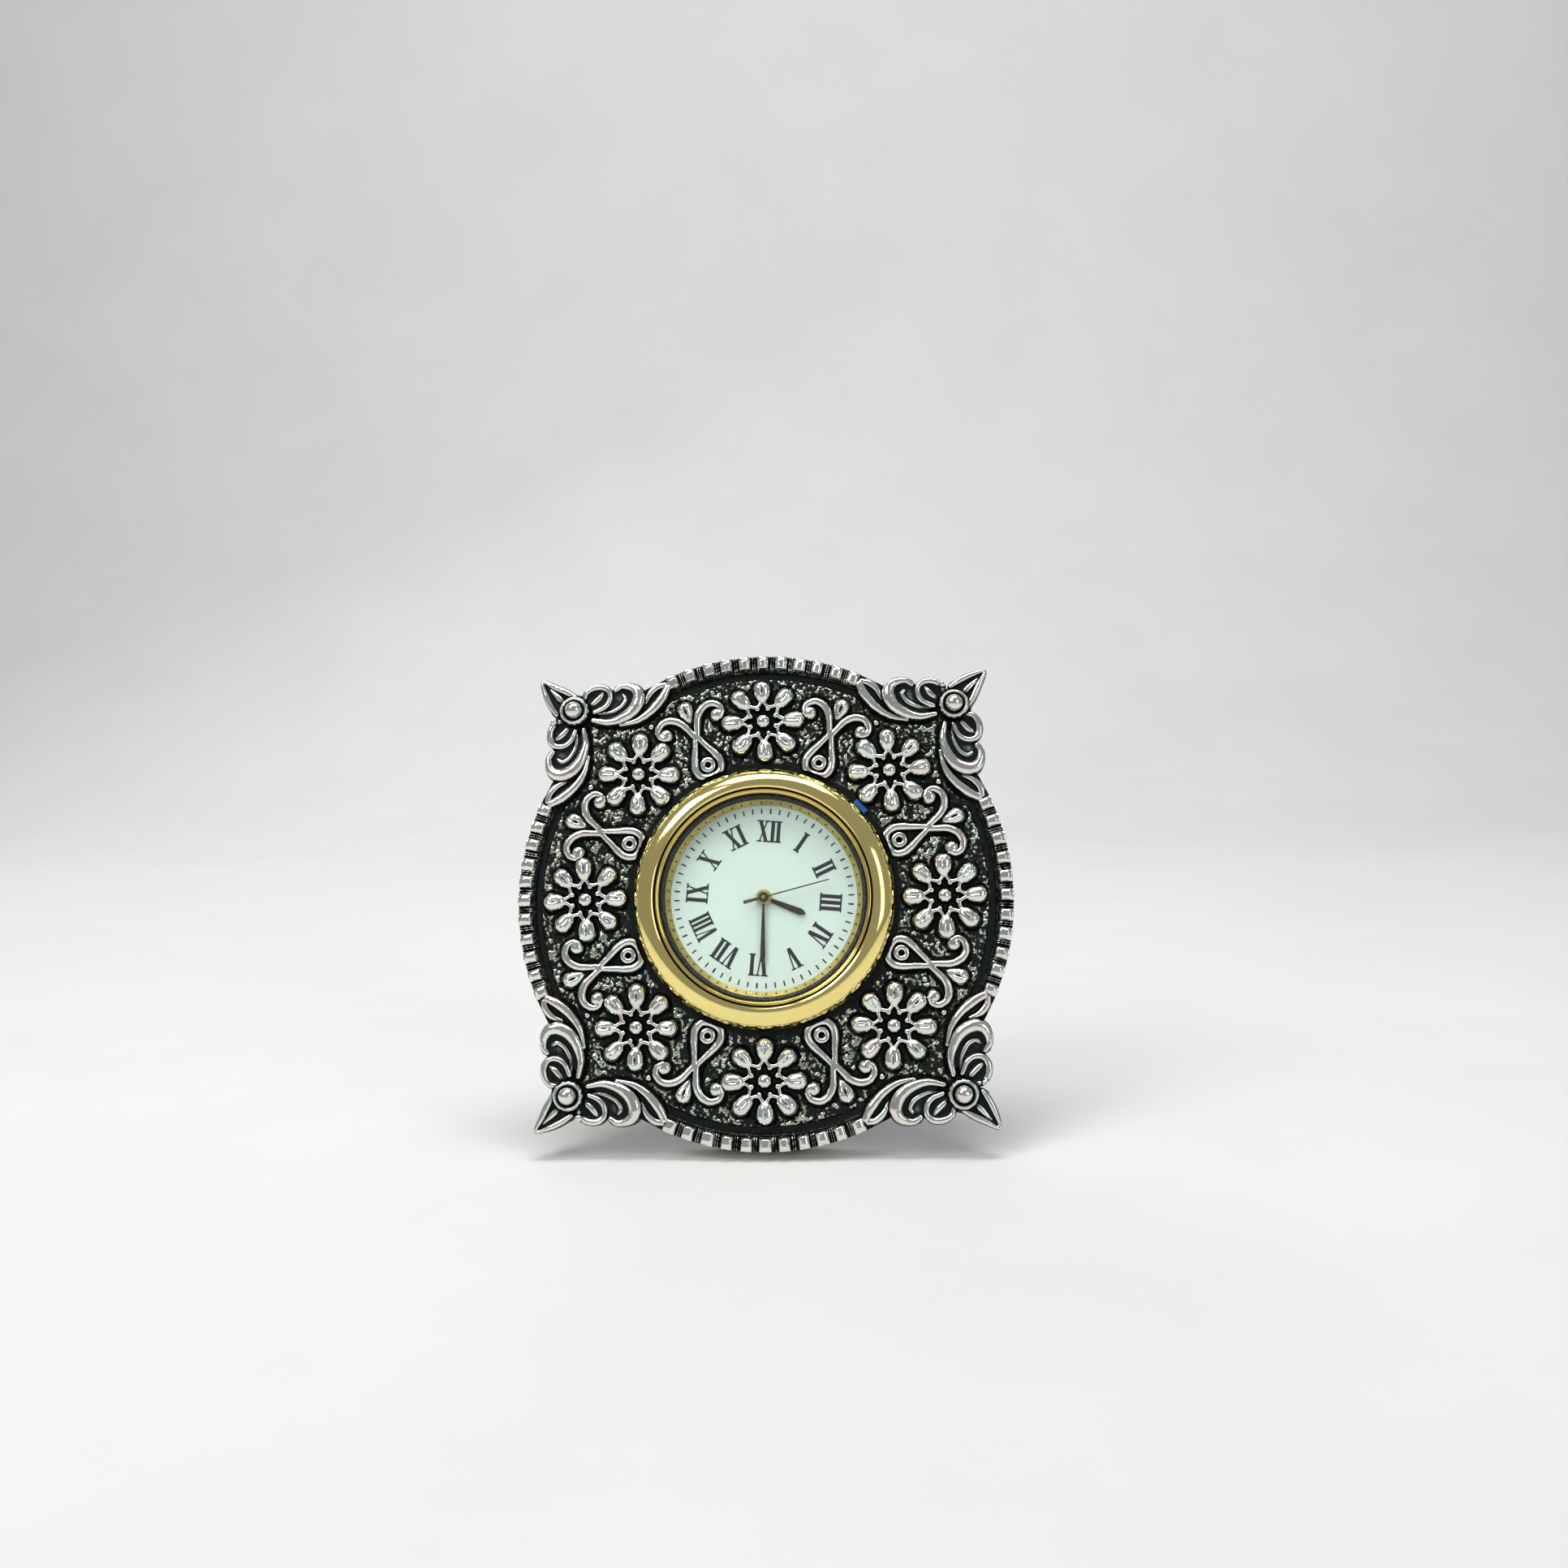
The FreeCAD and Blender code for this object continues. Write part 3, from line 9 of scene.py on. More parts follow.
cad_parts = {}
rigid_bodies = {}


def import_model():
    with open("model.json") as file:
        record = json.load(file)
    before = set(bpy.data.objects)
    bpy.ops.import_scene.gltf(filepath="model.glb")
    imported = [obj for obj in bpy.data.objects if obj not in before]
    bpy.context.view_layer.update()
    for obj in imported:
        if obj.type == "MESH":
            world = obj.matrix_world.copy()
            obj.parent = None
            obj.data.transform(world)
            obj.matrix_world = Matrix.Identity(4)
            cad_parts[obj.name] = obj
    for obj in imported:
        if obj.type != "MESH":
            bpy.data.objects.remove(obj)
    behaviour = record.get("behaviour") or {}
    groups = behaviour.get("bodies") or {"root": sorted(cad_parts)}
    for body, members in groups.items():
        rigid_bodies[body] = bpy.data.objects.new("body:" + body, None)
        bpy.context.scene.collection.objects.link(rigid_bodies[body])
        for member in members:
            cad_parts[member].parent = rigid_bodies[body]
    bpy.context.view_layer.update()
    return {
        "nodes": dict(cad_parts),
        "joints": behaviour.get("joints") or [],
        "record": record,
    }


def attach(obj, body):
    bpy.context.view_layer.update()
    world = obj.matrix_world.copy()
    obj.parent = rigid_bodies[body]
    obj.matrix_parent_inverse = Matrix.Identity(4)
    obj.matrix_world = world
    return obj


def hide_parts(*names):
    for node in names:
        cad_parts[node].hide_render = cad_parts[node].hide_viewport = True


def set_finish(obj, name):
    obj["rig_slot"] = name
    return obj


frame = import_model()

# The looks of a small oxidised-silver table clock. Shapes are worked out lying flat, in millimetres: X to
# the right of the dial, Y to twelve o'clock, Z towards the eye, with Z 0 at the casting's ground. The
# frame's own joints say where that plane stands.

MM = 0.001
joints = {joint["name"]: joint for joint in frame["joints"]}
DIAL_MIDDLE = Vector(joints["second_hand_turn"]["pos_m"])
FORWARD = Vector(joints["clock_pull"]["axis"])
RIGHT = Vector((1, 0, 0))
UPWARD = FORWARD.cross(RIGHT)
STANDING = np.array([RIGHT, UPWARD, FORWARD])


def stood(points):
    """Flat millimetre points as world metres."""
    return np.asarray(points, float) @ STANDING * MM + np.array(DIAL_MIDDLE)


# Camera, as the photograph was taken
PHOTO_SIZE = 1932
FOCAL_PIXELS = 1937
CAMERA_PLACE = (0.0162, -0.2153, 0.0705)
CAMERA_YAW = 3.403
CAMERA_PITCH = -5.033
CAMERA_ROLL = -1.262


def placed(name, data):
    """A new object in the scene."""
    thing = bpy.data.objects.new(name, data)
    bpy.context.scene.collection.objects.link(thing)
    return thing


def place_camera():
    lens = bpy.data.cameras.new("photo_camera")
    lens.sensor_fit = "HORIZONTAL"
    lens.lens = lens.sensor_width * FOCAL_PIXELS / PHOTO_SIZE
    lens.clip_start = 0.005
    camera = placed("photo_camera", lens)
    turns = ((CAMERA_YAW, "Z"), (90 + CAMERA_PITCH, "X"), (CAMERA_ROLL, "Z"))
    turn, tip, roll = (Matrix.Rotation(math.radians(angle), 4, axis) for angle, axis in turns)
    camera.matrix_world = Matrix.Translation(CAMERA_PLACE) @ turn @ tip @ roll
    bpy.context.scene.camera = camera


place_camera()

# The relief's plan: driving sizes of the casting
RIM_RADIUS = 35.0
BORE_RADIUS = 17.5
SEAT_RADIUS = 19.0
FLOWER_CIRCLE = 25.4
FLOWER_COUNT = 8
PETAL_COUNT = 8
CORNER_PEARL = 27.3
SKIRT_DEPTH = 6.0
SKIRT_WALL = 1.8
CORNER_HALF = 28.5
CORNER_ROUND = 3.0
CORNERS = 4
PLATE_BACK = -1.6
GRID = 0.1
REACH = 36.0

rng = np.random.default_rng(11)
steps = int(REACH / GRID)
axis = np.arange(-steps, steps + 1) * GRID
plan_x, plan_y = np.meshgrid(axis, axis)
plan_r = np.hypot(plan_x, plan_y)
height = np.zeros(plan_x.shape)
owner = np.zeros(plan_x.shape, int)
beyond = [np.maximum(np.abs(axis) - CORNER_HALF + CORNER_ROUND, 0) for axis in (plan_x, plan_y)]
outline = np.minimum(plan_r - RIM_RADIUS, np.hypot(*beyond) - CORNER_ROUND)

# How a form stands on what lies under it; NOTHING marks where a form isn't
NOTHING = -9.0
FILLET = 0.12
FOOT_SLOPE = 3.5
FOOT_DEPTH = 0.6
BALL_FOOT_SLOPE = 4
BALL_FOOT_DEPTH = 0.5
PLATEAU_EDGE = 0.3
PLATEAU_FOOT = 0.25
OUTER_TRIM = 0.08


def smooth_step(low, high, value):
    t = np.clip((value - low) / (high - low), 0, 1)
    return t * t * (3 - 2 * t)


def blurred(field, sigma):
    """A Gaussian blur by separable convolution; sigma is in millimetres."""
    half = max(1, int(3 * sigma / GRID))
    kernel = np.exp(-0.5 * (np.arange(-half, half + 1) * GRID / sigma) ** 2)
    kernel /= kernel.sum()
    for _ in ("across", "along"):
        padded = np.pad(field, ((0, 0), (half, half)), mode="edge")
        field = sum(weight * padded[:, n:n + field.shape[1]] for n, weight in enumerate(kernel)).T
    return field


def grain(size, seed):
    """Smooth random noise between -1 and 1 whose lumps are about one size, in millimetres."""
    source = np.random.default_rng(seed).standard_normal(plan_x.shape)
    field = blurred(source, size / 2.5)
    return np.clip(field / field.std() / 2, -1, 1)


def curve(points, per_span=8, closed=False):
    """A Catmull-Rom curve through rows of x, y and any other values."""
    p = np.asarray(points, float)
    if closed:
        p = np.vstack([p[-1], p, p[0], p[1]])
    else:
        p = np.vstack([2 * p[0] - p[1], p, 2 * p[-1] - p[-2]])
    rows = []
    for a, b, c, d in zip(p, p[1:], p[2:], p[3:]):
        for t in np.arange(per_span) / per_span:
            rows.append(0.5 * (2 * b + (c - a) * t + (2 * a - 5 * b + 4 * c - d) * t * t
                               + (3 * b - a - 3 * c + d) * t ** 3))
    if not closed:
        rows.append(p[-2])
    return np.array(rows)


def turned(points, angle):
    """Rows of x, y, ... turned clockwise about the middle."""
    p = np.array(points, float)
    a = math.radians(angle)
    x, y = p[:, 0].copy(), p[:, 1].copy()
    p[:, 0] = x * math.cos(a) + y * math.sin(a)
    p[:, 1] = y * math.cos(a) - x * math.sin(a)
    return p


def heading(angle):
    """Unit directions outward and across at a clockwise angle from twelve."""
    a = math.radians(angle)
    return np.array([math.sin(a), math.cos(a)]), np.array([math.cos(a), -math.sin(a)])


def window(points, margin):
    """The grid slices that hold some points and a margin round them."""
    p = np.asarray(points, float)
    low = np.clip(((p[:, :2].min(0) - margin) / GRID).astype(int) + steps, 0, 2 * steps)
    high = np.clip(((p[:, :2].max(0) + margin) / GRID).astype(int) + steps + 2, 1, 2 * steps + 1)
    return slice(low[1], high[1]), slice(low[0], high[0])


def raise_to(area, shape, number):
    """Puts a form into the relief with a small fillet where it meets what is there."""
    old = height[area]
    gap = np.clip(0.5 + 0.5 * (shape - old) / FILLET, 0, 1)
    joined = old * (1 - gap) + shape * gap + FILLET * gap * (1 - gap)
    lifted = shape > NOTHING / 2
    height[area] = np.where(lifted, np.maximum(joined, old), old)
    taken = lifted & (shape > old - 0.05)
    owner[area] = np.where(taken, number, owner[area])


def to_segment(x, y, start, end):
    """How far along a segment its nearest point is, as a share, and how far off that point lies."""
    ex, ey = end[0] - start[0], end[1] - start[1]
    t = np.clip(((x - start[0]) * ex + (y - start[1]) * ey) / max(ex * ex + ey * ey, 1e-12), 0, 1)
    return t, np.hypot(x - start[0] - ex * t, y - start[1] - ey * t)


def tube(points, number, lift, outer=False):
    """A round-topped ridge along rows of x, y, radius; its axis is at the lift."""
    p = np.asarray(points, float)
    area = window(p, p[:, 2].max() + 0.5)
    x, y = plan_x[area], plan_y[area]
    top = np.full(x.shape, NOTHING)
    near = np.full(x.shape, -NOTHING)
    for a, b in zip(p, p[1:]):
        t, d = to_segment(x, y, a, b)
        r = a[2] + (b[2] - a[2]) * t
        rise = lift + np.sqrt(np.maximum(r * r - d * d, 0))
        slope = lift - (d - r) * FOOT_SLOPE
        top = np.maximum(top, np.where(d < r, rise, np.where(slope > -FOOT_DEPTH, slope, NOTHING)))
        near = np.minimum(near, d - r)
    raise_to(area, top, number)
    if outer:
        outline[area] = np.minimum(outline[area], near - OUTER_TRIM)


def polygon_distance(x, y, p):
    """Signed distance to a closed polygon, negative inside."""
    best = np.full(x.shape, 1e9)
    inside = np.zeros(x.shape, bool)
    for (ax, ay), (bx, by) in zip(p, np.roll(p, -1, 0)):
        best = np.minimum(best, to_segment(x, y, (ax, ay), (bx, by))[1])
        inside ^= ((ay > y) != (by > y)) & (x < (bx - ax) * (y - ay) / ((by - ay) or 1e-12) + ax)
    return np.where(inside, -best, best)


def plateau(points, number, top):
    """A raised floor with rounded edges inside a closed smooth outline; it is part of the silhouette."""
    p = curve(points, 8, closed=True)[:, :2]
    area = window(p, 1.0)
    d = polygon_distance(plan_x[area], plan_y[area], p)
    inner = np.clip(-d / PLATEAU_EDGE, 0, 1)
    rise = top * np.sqrt(1 - (1 - inner) ** 2)
    shape = np.where(d < 0, rise, np.where(d < PLATEAU_FOOT, -d * FOOT_SLOPE, NOTHING))
    raise_to(area, shape, number)
    outline[area] = np.minimum(outline[area], d)


def ball(x, y, radius, top, number):
    area = window([(x, y)], radius + 0.4)
    d = np.hypot(plan_x[area] - x, plan_y[area] - y)
    rise = top - radius + np.sqrt(np.maximum(radius ** 2 - d ** 2, 0))
    slope = top - radius - (d - radius) * BALL_FOOT_SLOPE
    foot = np.where(slope > -BALL_FOOT_DEPTH, slope, NOTHING)
    raise_to(area, np.where(d < radius, rise, foot), number)


# Flowers
PETAL_BALL = 1.36
PETAL_BALL_PLACE = 4.75
PETAL_WAIST_PLACE = 3.9
PETAL_WAIST_SHARE = 0.88
PETAL_TIP = 0.55
PETAL_TIP_PLACE = 3.1
PETAL_LIFT = 0.16
PIT_LENGTH = 0.75
PIT_WIDTH = 0.17
PIT_DEPTH = 0.34
CALYX_OUTER = 3.1
CALYX_VALLEY = 2.2
CALYX_TUBE = 0.26
CALYX_LIFT = 0.6
KNOB_PLACE = 1.95
KNOB_RADIUS = 0.4
KNOB_TOP = 0.92
FLOWER_PEARL = 1.08
FLOWER_PEARL_TOP = 1.35


def pit_in(place, along, strength):
    """A short dent in the top of a form, lying along a direction, where the casting was chased."""
    area = window([place], PIT_LENGTH + 0.6)
    x, y = plan_x[area] - place[0], plan_y[area] - place[1]
    run = x * along[0] + y * along[1]
    side = x * along[1] - y * along[0]
    height[area] -= PIT_DEPTH * strength * np.exp(-(run / PIT_LENGTH) ** 2 - (side / PIT_WIDTH) ** 2)


def flower(number, middle):
    """Eight petals round a notched star, with a knob in each notch and a pearl in the middle."""
    turn = rng.uniform(-2.5, 2.5)
    for n in range(PETAL_COUNT):
        along, _ = heading(n * 360 / PETAL_COUNT + turn + rng.uniform(-2, 2))
        size = PETAL_BALL * rng.uniform(0.95, 1.04)
        out = middle + along * (PETAL_BALL_PLACE + rng.uniform(-0.1, 0.1))
        tip = middle + along * PETAL_TIP_PLACE
        waist = middle + along * PETAL_WAIST_PLACE
        rows = [(*tip, PETAL_TIP), (*waist, size * PETAL_WAIST_SHARE), (*out, size)]
        tube(curve(rows, 5), number, PETAL_LIFT)
        pit_in(out - along * rng.uniform(0.1, 0.5), along, rng.uniform(0.5, 1.0))
    star = []
    for n in range(2 * PETAL_COUNT + 1):
        along, _ = heading(n * 180 / PETAL_COUNT + turn)
        radius = CALYX_VALLEY if n % 2 else CALYX_OUTER
        star.append((*(middle + radius * along), CALYX_TUBE * rng.uniform(0.9, 1.2)))
        if n % 2:
            ball(*(middle + KNOB_PLACE * along), KNOB_RADIUS, KNOB_TOP, number)
    tube(curve(star, 3), number, CALYX_LIFT)
    ball(*middle, FLOWER_PEARL, FLOWER_PEARL_TOP, number)


# Scrolls, on the twelve o'clock axis
LOOP = [(0.0, 25.7, 0.36), (0.38, 24.6, 0.42), (1.0, 23.1, 0.5), (1.62, 21.8, 0.56), (1.9, 20.6, 0.58),
        (1.55, 19.5, 0.56), (0.8, 19.05, 0.54), (0.0, 18.95, 0.54)]
TENDRIL = [(0.22, 25.2, 0.42), (0.75, 26.7, 0.54), (1.35, 27.9, 0.6), (2.45, 28.8, 0.6), (3.75, 28.95, 0.56),
           (4.75, 28.2, 0.5), (4.85, 27.3, 0.5), (4.3, 26.75, 0.6)]
TENDRIL_BALL = (3.9, 27.1, 1.1)
TENDRIL_BALL_TOP = 1.05
EYE_PLACE = 20.75
EYE_RING = 0.78
EYE_TUBE = 0.44
BUD = [(0.0, 27.1, 0.35), (0.0, 28.3, 0.9), (0.0, 29.5, 1.3)]
BUD_PIT = 29.2
BUD_LIFT = 0.1
SCROLL_LIFT = 0.44


def scroll(number, angle):
    """A crossed double scroll with a ringed eye inward and a pitted bud outward."""
    for side in (-1, 1):
        for line in (LOOP, TENDRIL):
            tube(turned(curve(line) * (side, 1, 1), angle), number, SCROLL_LIFT)
        x, y = turned([(side * TENDRIL_BALL[0], TENDRIL_BALL[1])], angle)[0]
        ball(x, y, TENDRIL_BALL[2], TENDRIL_BALL_TOP, number)
    ring = [(EYE_RING * math.sin(t), EYE_PLACE + EYE_RING * math.cos(t), EYE_TUBE)
            for t in np.linspace(0, 2 * math.pi, 25)]
    tube(turned(ring, angle), number, SCROLL_LIFT - 0.1)
    tube(turned(curve(BUD, 5), angle), number, BUD_LIFT)
    along, _ = heading(angle)
    pit_in(along * BUD_PIT, along, 1.2)


# Corner ornaments, on the upper left corner, rows of x, y and ridge radius
POINTED_LEAF = [(-26.3, 29.4), (-27.1, 29.9), (-28.5, 30.6), (-30.4, 31.4), (-32.3, 32.0), (-31.9, 29.8),
                (-31.1, 28.1), (-30.4, 26.7), (-28.0, 26.5)]
POINTED_RIM = [(-26.9, 29.2, 0.36), (-28.6, 30.2, 0.46), (-30.4, 31.05, 0.42), (-32.1, 31.8, 0.2),
               (-31.55, 29.8, 0.4), (-30.8, 28.2, 0.44), (-29.9, 26.9, 0.36)]
POINTED_RIB = [(-28.6, 28.3, 0.5), (-29.8, 29.5, 0.52), (-31.1, 30.9, 0.22)]
ROUND_LEAF = [(-26.1, 28.6), (-26.2, 30.0), (-24.8, 31.2), (-23.1, 31.3), (-21.9, 30.4), (-21.8, 28.9),
              (-22.7, 27.5), (-24.2, 26.9)]
ROUND_RIM = [(-25.9, 29.0, 0.34), (-25.7, 30.0, 0.4), (-24.6, 30.75, 0.46), (-23.2, 30.8, 0.46),
             (-22.3, 30.1, 0.42), (-22.25, 28.9, 0.42), (-23.0, 27.85, 0.4), (-24.5, 27.2, 0.32)]
ROUND_RIB = [(-24.9, 28.3, 0.42), (-23.9, 29.2, 0.5), (-23.2, 30.1, 0.3)]
LOBE = [(-24.9, 25.7), (-22.4, 25.0), (-20.1, 25.4), (-18.0, 26.6), (-16.95, 28.4), (-17.0, 29.9),
        (-17.9, 31.1), (-19.4, 31.55), (-20.8, 31.4), (-21.8, 30.6), (-22.6, 27.6)]
LOBE_RIM = [(-24.7, 26.0, 0.34), (-22.4, 25.65, 0.56), (-20.3, 26.25, 0.78), (-18.75, 27.35, 0.95),
            (-18.0, 28.9, 1.0), (-18.3, 30.2, 0.84), (-19.3, 30.85, 0.62), (-20.5, 30.95, 0.46),
            (-21.4, 30.4, 0.34)]
LOBE_LINE = [(-24.4, 27.0, 0.24), (-22.3, 27.15, 0.34), (-20.7, 27.9, 0.4), (-19.95, 29.0, 0.38),
             (-20.3, 29.75, 0.26)]
BLADE = [(-20.8, 25.1), (-18.0, 25.6), (-15.8, 27.1), (-14.1, 29.0), (-13.1, 30.7), (-13.6, 31.5),
         (-14.9, 31.4), (-16.2, 30.5), (-17.0, 29.0), (-17.8, 27.0)]
BLADE_RIM = [(-20.6, 25.2, 0.24), (-18.2, 25.85, 0.5), (-16.2, 27.2, 0.66), (-14.7, 28.95, 0.72),
             (-13.85, 30.5, 0.58)]
BLADE_LINE = [(-17.0, 28.4, 0.34), (-16.4, 29.7, 0.46), (-15.3, 30.7, 0.5), (-14.2, 31.0, 0.42)]
LEAF_TOP = 0.35
POINTED_TOP = 0.45
OUTER_LIFT = 0.5
INNER_LIFT = 0.2
POINTED_LIFT = 0.6
RIB_LIFT = 0.35
SIDE_BALL = (-30.3, 25.8, 0.58)
SIDE_BALL_TOP = 1.45
CUP_RIM = 0.42
CUP_FLOOR = 0.75
CUP_RADIUS = 2.15
CUP_TOP = 1.75
PEARL_RADIUS = 1.24
PEARL_TOP = 3.0


def cornered(points, flipped, angle):
    """Rows on the upper left corner, or their mirror image over its diagonal, turned to a corner."""
    p = np.array(points, float)
    if flipped:
        p[:, [0, 1]] = -p[:, [1, 0]]
    return turned(p, angle)


def corner(number, angle):
    """One corner: leaves, lobes and blades either side of a cup with a pearl."""
    plateau(turned(POINTED_LEAF, angle), number, POINTED_TOP)
    for side in (False, True):
        for body, rims in ((BLADE, (BLADE_LINE, BLADE_RIM)), (LOBE, (LOBE_RIM, LOBE_LINE)),
                           (ROUND_LEAF, (ROUND_RIM, ROUND_RIB))):
            plateau(cornered(body, side, angle), number, LEAF_TOP)
            for rim in rims:
                outside = rim in (LOBE_RIM, BLADE_RIM, BLADE_LINE, ROUND_RIM)
                lift = OUTER_LIFT if outside else INNER_LIFT
                tube(cornered(curve(rim), side, angle), number, lift, outer=outside)
    tube(turned(curve(POINTED_RIM), angle), number, POINTED_LIFT, outer=True)
    tube(turned(curve(POINTED_RIB), angle), number, RIB_LIFT)
    ball(*turned([SIDE_BALL[:2]], angle)[0], SIDE_BALL[2], SIDE_BALL_TOP, number)
    x, y = turned([(-CORNER_PEARL, CORNER_PEARL)], angle)[0]
    area = window([(x, y)], CUP_RADIUS + 0.5)
    d = np.hypot(plan_x[area] - x, plan_y[area] - y)
    rim = np.sqrt(np.maximum(CUP_RIM ** 2 - (d - CUP_RADIUS + CUP_RIM) ** 2, 0))
    rim *= (CUP_TOP - CUP_FLOOR) / CUP_RIM
    height[area] = np.where(d < CUP_RADIUS - CUP_RIM, np.minimum(height[area], CUP_FLOOR), height[area])
    raise_to(area, np.where(d < CUP_RADIUS, CUP_FLOOR + rim, NOTHING), number)
    outline[area] = np.minimum(outline[area], d - CUP_RADIUS)
    ball(x, y, PEARL_RADIUS, PEARL_TOP, number)


# Beads and the reels between them
BEADS_PER_SIDE = 11
BEAD_SPREAD = 22.5
BEAD_HALF = 0.95
BEAD_INNER = 32.75
BEAD_OUTER = 34.95
BEAD_TOP = 1.0
REEL_HALF = 0.12
REEL_TOP = 0.4
REEL_SPREAD = 0.27
BEAD_CURVE = 2.5
BEAD_INNER_RUN = 0.65
BEAD_OUTER_RUN = 0.6
BEAD_OUTER_DROP = 0.35
RIDGE_PLACE = 32.75
RIDGE_HALF = 0.22
RIDGE_TOP = 0.42


def bead(number, angle, half, top):
    p = turned([(0, BEAD_INNER), (0, BEAD_OUTER)], angle)
    area = window(p, half + 0.6)
    along, aside = heading(angle)
    across = plan_x[area] * aside[0] + plan_y[area] * aside[1]
    out = plan_x[area] * along[0] + plan_y[area] * along[1]
    side = np.sqrt(np.maximum(1 - (np.abs(across) / half) ** BEAD_CURVE, 0))
    ends = smooth_step(BEAD_INNER, BEAD_INNER + BEAD_INNER_RUN, out)
    ends *= 1 - BEAD_OUTER_DROP * smooth_step(BEAD_OUTER - BEAD_OUTER_RUN, BEAD_OUTER, out)
    shape = np.where((np.abs(across) < half) & (out > BEAD_INNER), top * side * ends, NOTHING)
    raise_to(area, shape, number)


def beads(number, angle):
    """One side's row of beads, a little uneven, with a pair of reels in each gap."""
    pitch = 2 * BEAD_SPREAD / (BEADS_PER_SIDE - 1)
    for n in range(BEADS_PER_SIDE):
        place = angle - BEAD_SPREAD + n * pitch
        bead(number, place + rng.uniform(-0.25, 0.25), BEAD_HALF * rng.uniform(0.9, 1.05),
             BEAD_TOP * rng.uniform(0.9, 1.05))
        if n < BEADS_PER_SIDE - 1:
            for side in (-1, 1):
                bead(number, place + pitch / 2 + side * REEL_SPREAD, REEL_HALF, REEL_TOP)


# Small dots and sprigs near the corners
DOT_PLACE = (-16.2, 24.9)
DOT_RADIUS = 0.5
DOT_TOP = 0.55
SMALL_FORMS = 5
SPRIG_LIFT = 0.05
SPRIG = [(-21.9, 20.3, 0.15), (-21.2, 22.0, 0.3), (-20.6, 23.0, 0.12)]


def small_forms():
    for n in range(CORNERS):
        for side in (False, True):
            ball(*cornered([DOT_PLACE], side, n * 90)[0], DOT_RADIUS, DOT_TOP, SMALL_FORMS)
            tube(cornered(curve(SPRIG, 4), side, n * 90), SMALL_FORMS, SPRIG_LIFT)


CHANNEL = (31.4, 31.9, 32.5, 32.9)
CHANNEL_DEPTH = 0.3
BAND = (32.6, 33.0)
BAND_HEIGHT = 0.1
BEADED_END = BEAD_SPREAD + 1.5
UNBEADED_START = BEAD_SPREAD + 4.5

# Piece numbers: 1 to 4 ground quarters, 5 small forms (given to the ground), then the rest
FIRST_FLOWER, FIRST_SCROLL, FIRST_CORNER, FIRST_BEADS = 10, 20, 30, 40


def make_relief():
    """Fills the height, owner and outline grids; returns what the finish is read from."""
    global height
    ground_grain = grain(0.32, 3)
    lumps = grain(0.9, 4)
    wide, tall = np.abs(plan_x), np.abs(plan_y)
    off_axis = np.degrees(np.arctan2(np.minimum(wide, tall), np.maximum(wide, tall)))
    beaded = 1 - smooth_step(BEADED_END, UNBEADED_START, off_axis)
    channel = smooth_step(*CHANNEL[:2], plan_r) * (1 - smooth_step(*CHANNEL[2:], plan_r)) * beaded
    band = smooth_step(*BAND, plan_r) * beaded
    ridge = np.sqrt(np.maximum(1 - ((plan_r - RIDGE_PLACE) / RIDGE_HALF) ** 2, 0))
    height[:] = RIDGE_TOP * ridge * beaded - CHANNEL_DEPTH * channel + BAND_HEIGHT * band
    for n in range(FLOWER_COUNT):
        flower(FIRST_FLOWER + n, FLOWER_CIRCLE * heading(n * 360 / FLOWER_COUNT)[0])
    for n in range(FLOWER_COUNT):
        scroll(FIRST_SCROLL + n, (n + 0.5) * 360 / FLOWER_COUNT)
    small_forms()
    for n in range(CORNERS):
        beads(FIRST_BEADS + n, n * 90)
    for n in range(CORNERS):
        corner(FIRST_CORNER + n, n * 90)
    is_form = (owner > 0).astype(float)
    near = blurred(is_form, 0.45)
    island = 1 - smooth_step(0.10, 0.45, near)
    seat = 1 - smooth_step(SEAT_RADIUS + 0.1, SEAT_RADIUS + 1.1, plan_r)
    rough = island * (0.10 + 0.13 * ground_grain + 0.07 * lumps) - 0.16 * (1 - island)
    ground = (1 - is_form) * (1 - seat)
    height += ground * rough * (1 - channel)
    height += is_form * (0.035 * grain(1.1, 5) + 0.012 * grain(0.35, 6))
    flecks = island * (1 - is_form) * (1 - seat) * (1 - channel) * (1 - band)
    return ground_grain, lumps, flecks, is_form


ground_grain, lumps, flecks, is_form = make_relief()
height = np.where(plan_r < SEAT_RADIUS, np.minimum(height, 0.0), height)
outline = np.maximum(outline, BORE_RADIUS - plan_r)


# Where the oxide stays, with painted shade on steep sides: steps of depth under the wide and the fine
# surroundings, of slope (the painted shade) and of height
DEEP, FINE, STEEP_SHADE, HIGH = (-0.12, 0.32), (0.0, 0.09), (1.1, 3.2), (0.9, 1.6)
WIDE_BLUR, FINE_BLUR = 0.75, 0.22
FINE_SHARE, STEEP_SHADE_SHARE, HIGH_SHARE, BEAD_SHARE = 0.7, 0.55, 0.55, 0.55


def oxide_shade_and_fleck_masks():
    """How dark the oxide and the painted shade are at each grid point: oxide from how deep the relief is
    there, painted shade from how steep.
    """
    slope = np.hypot(*np.gradient(height, GRID))
    dark = smooth_step(*DEEP, blurred(height, WIDE_BLUR) - height)
    dark += FINE_SHARE * smooth_step(*FINE, blurred(height, FINE_BLUR) - height)
    # Painted shade: the steep sides of the forms are darkened as if they lay in shade.
    dark += STEEP_SHADE_SHARE * smooth_step(*STEEP_SHADE, slope)
    dark *= 1 - HIGH_SHARE * smooth_step(*HIGH, height)
    dark *= np.where(owner >= FIRST_BEADS, BEAD_SHARE, 1.0)
    fleck = flecks * smooth_step(0.05, 0.55, ground_grain + 0.5 * lumps)
    floor = (1 - is_form) * (1 - fleck)
    dark = np.maximum(dark, floor * 0.96)
    dark = dark * (1 - fleck * 0.75)
    return np.clip(dark, 0, 1), fleck


dark_mask, fleck_mask = oxide_shade_and_fleck_masks()


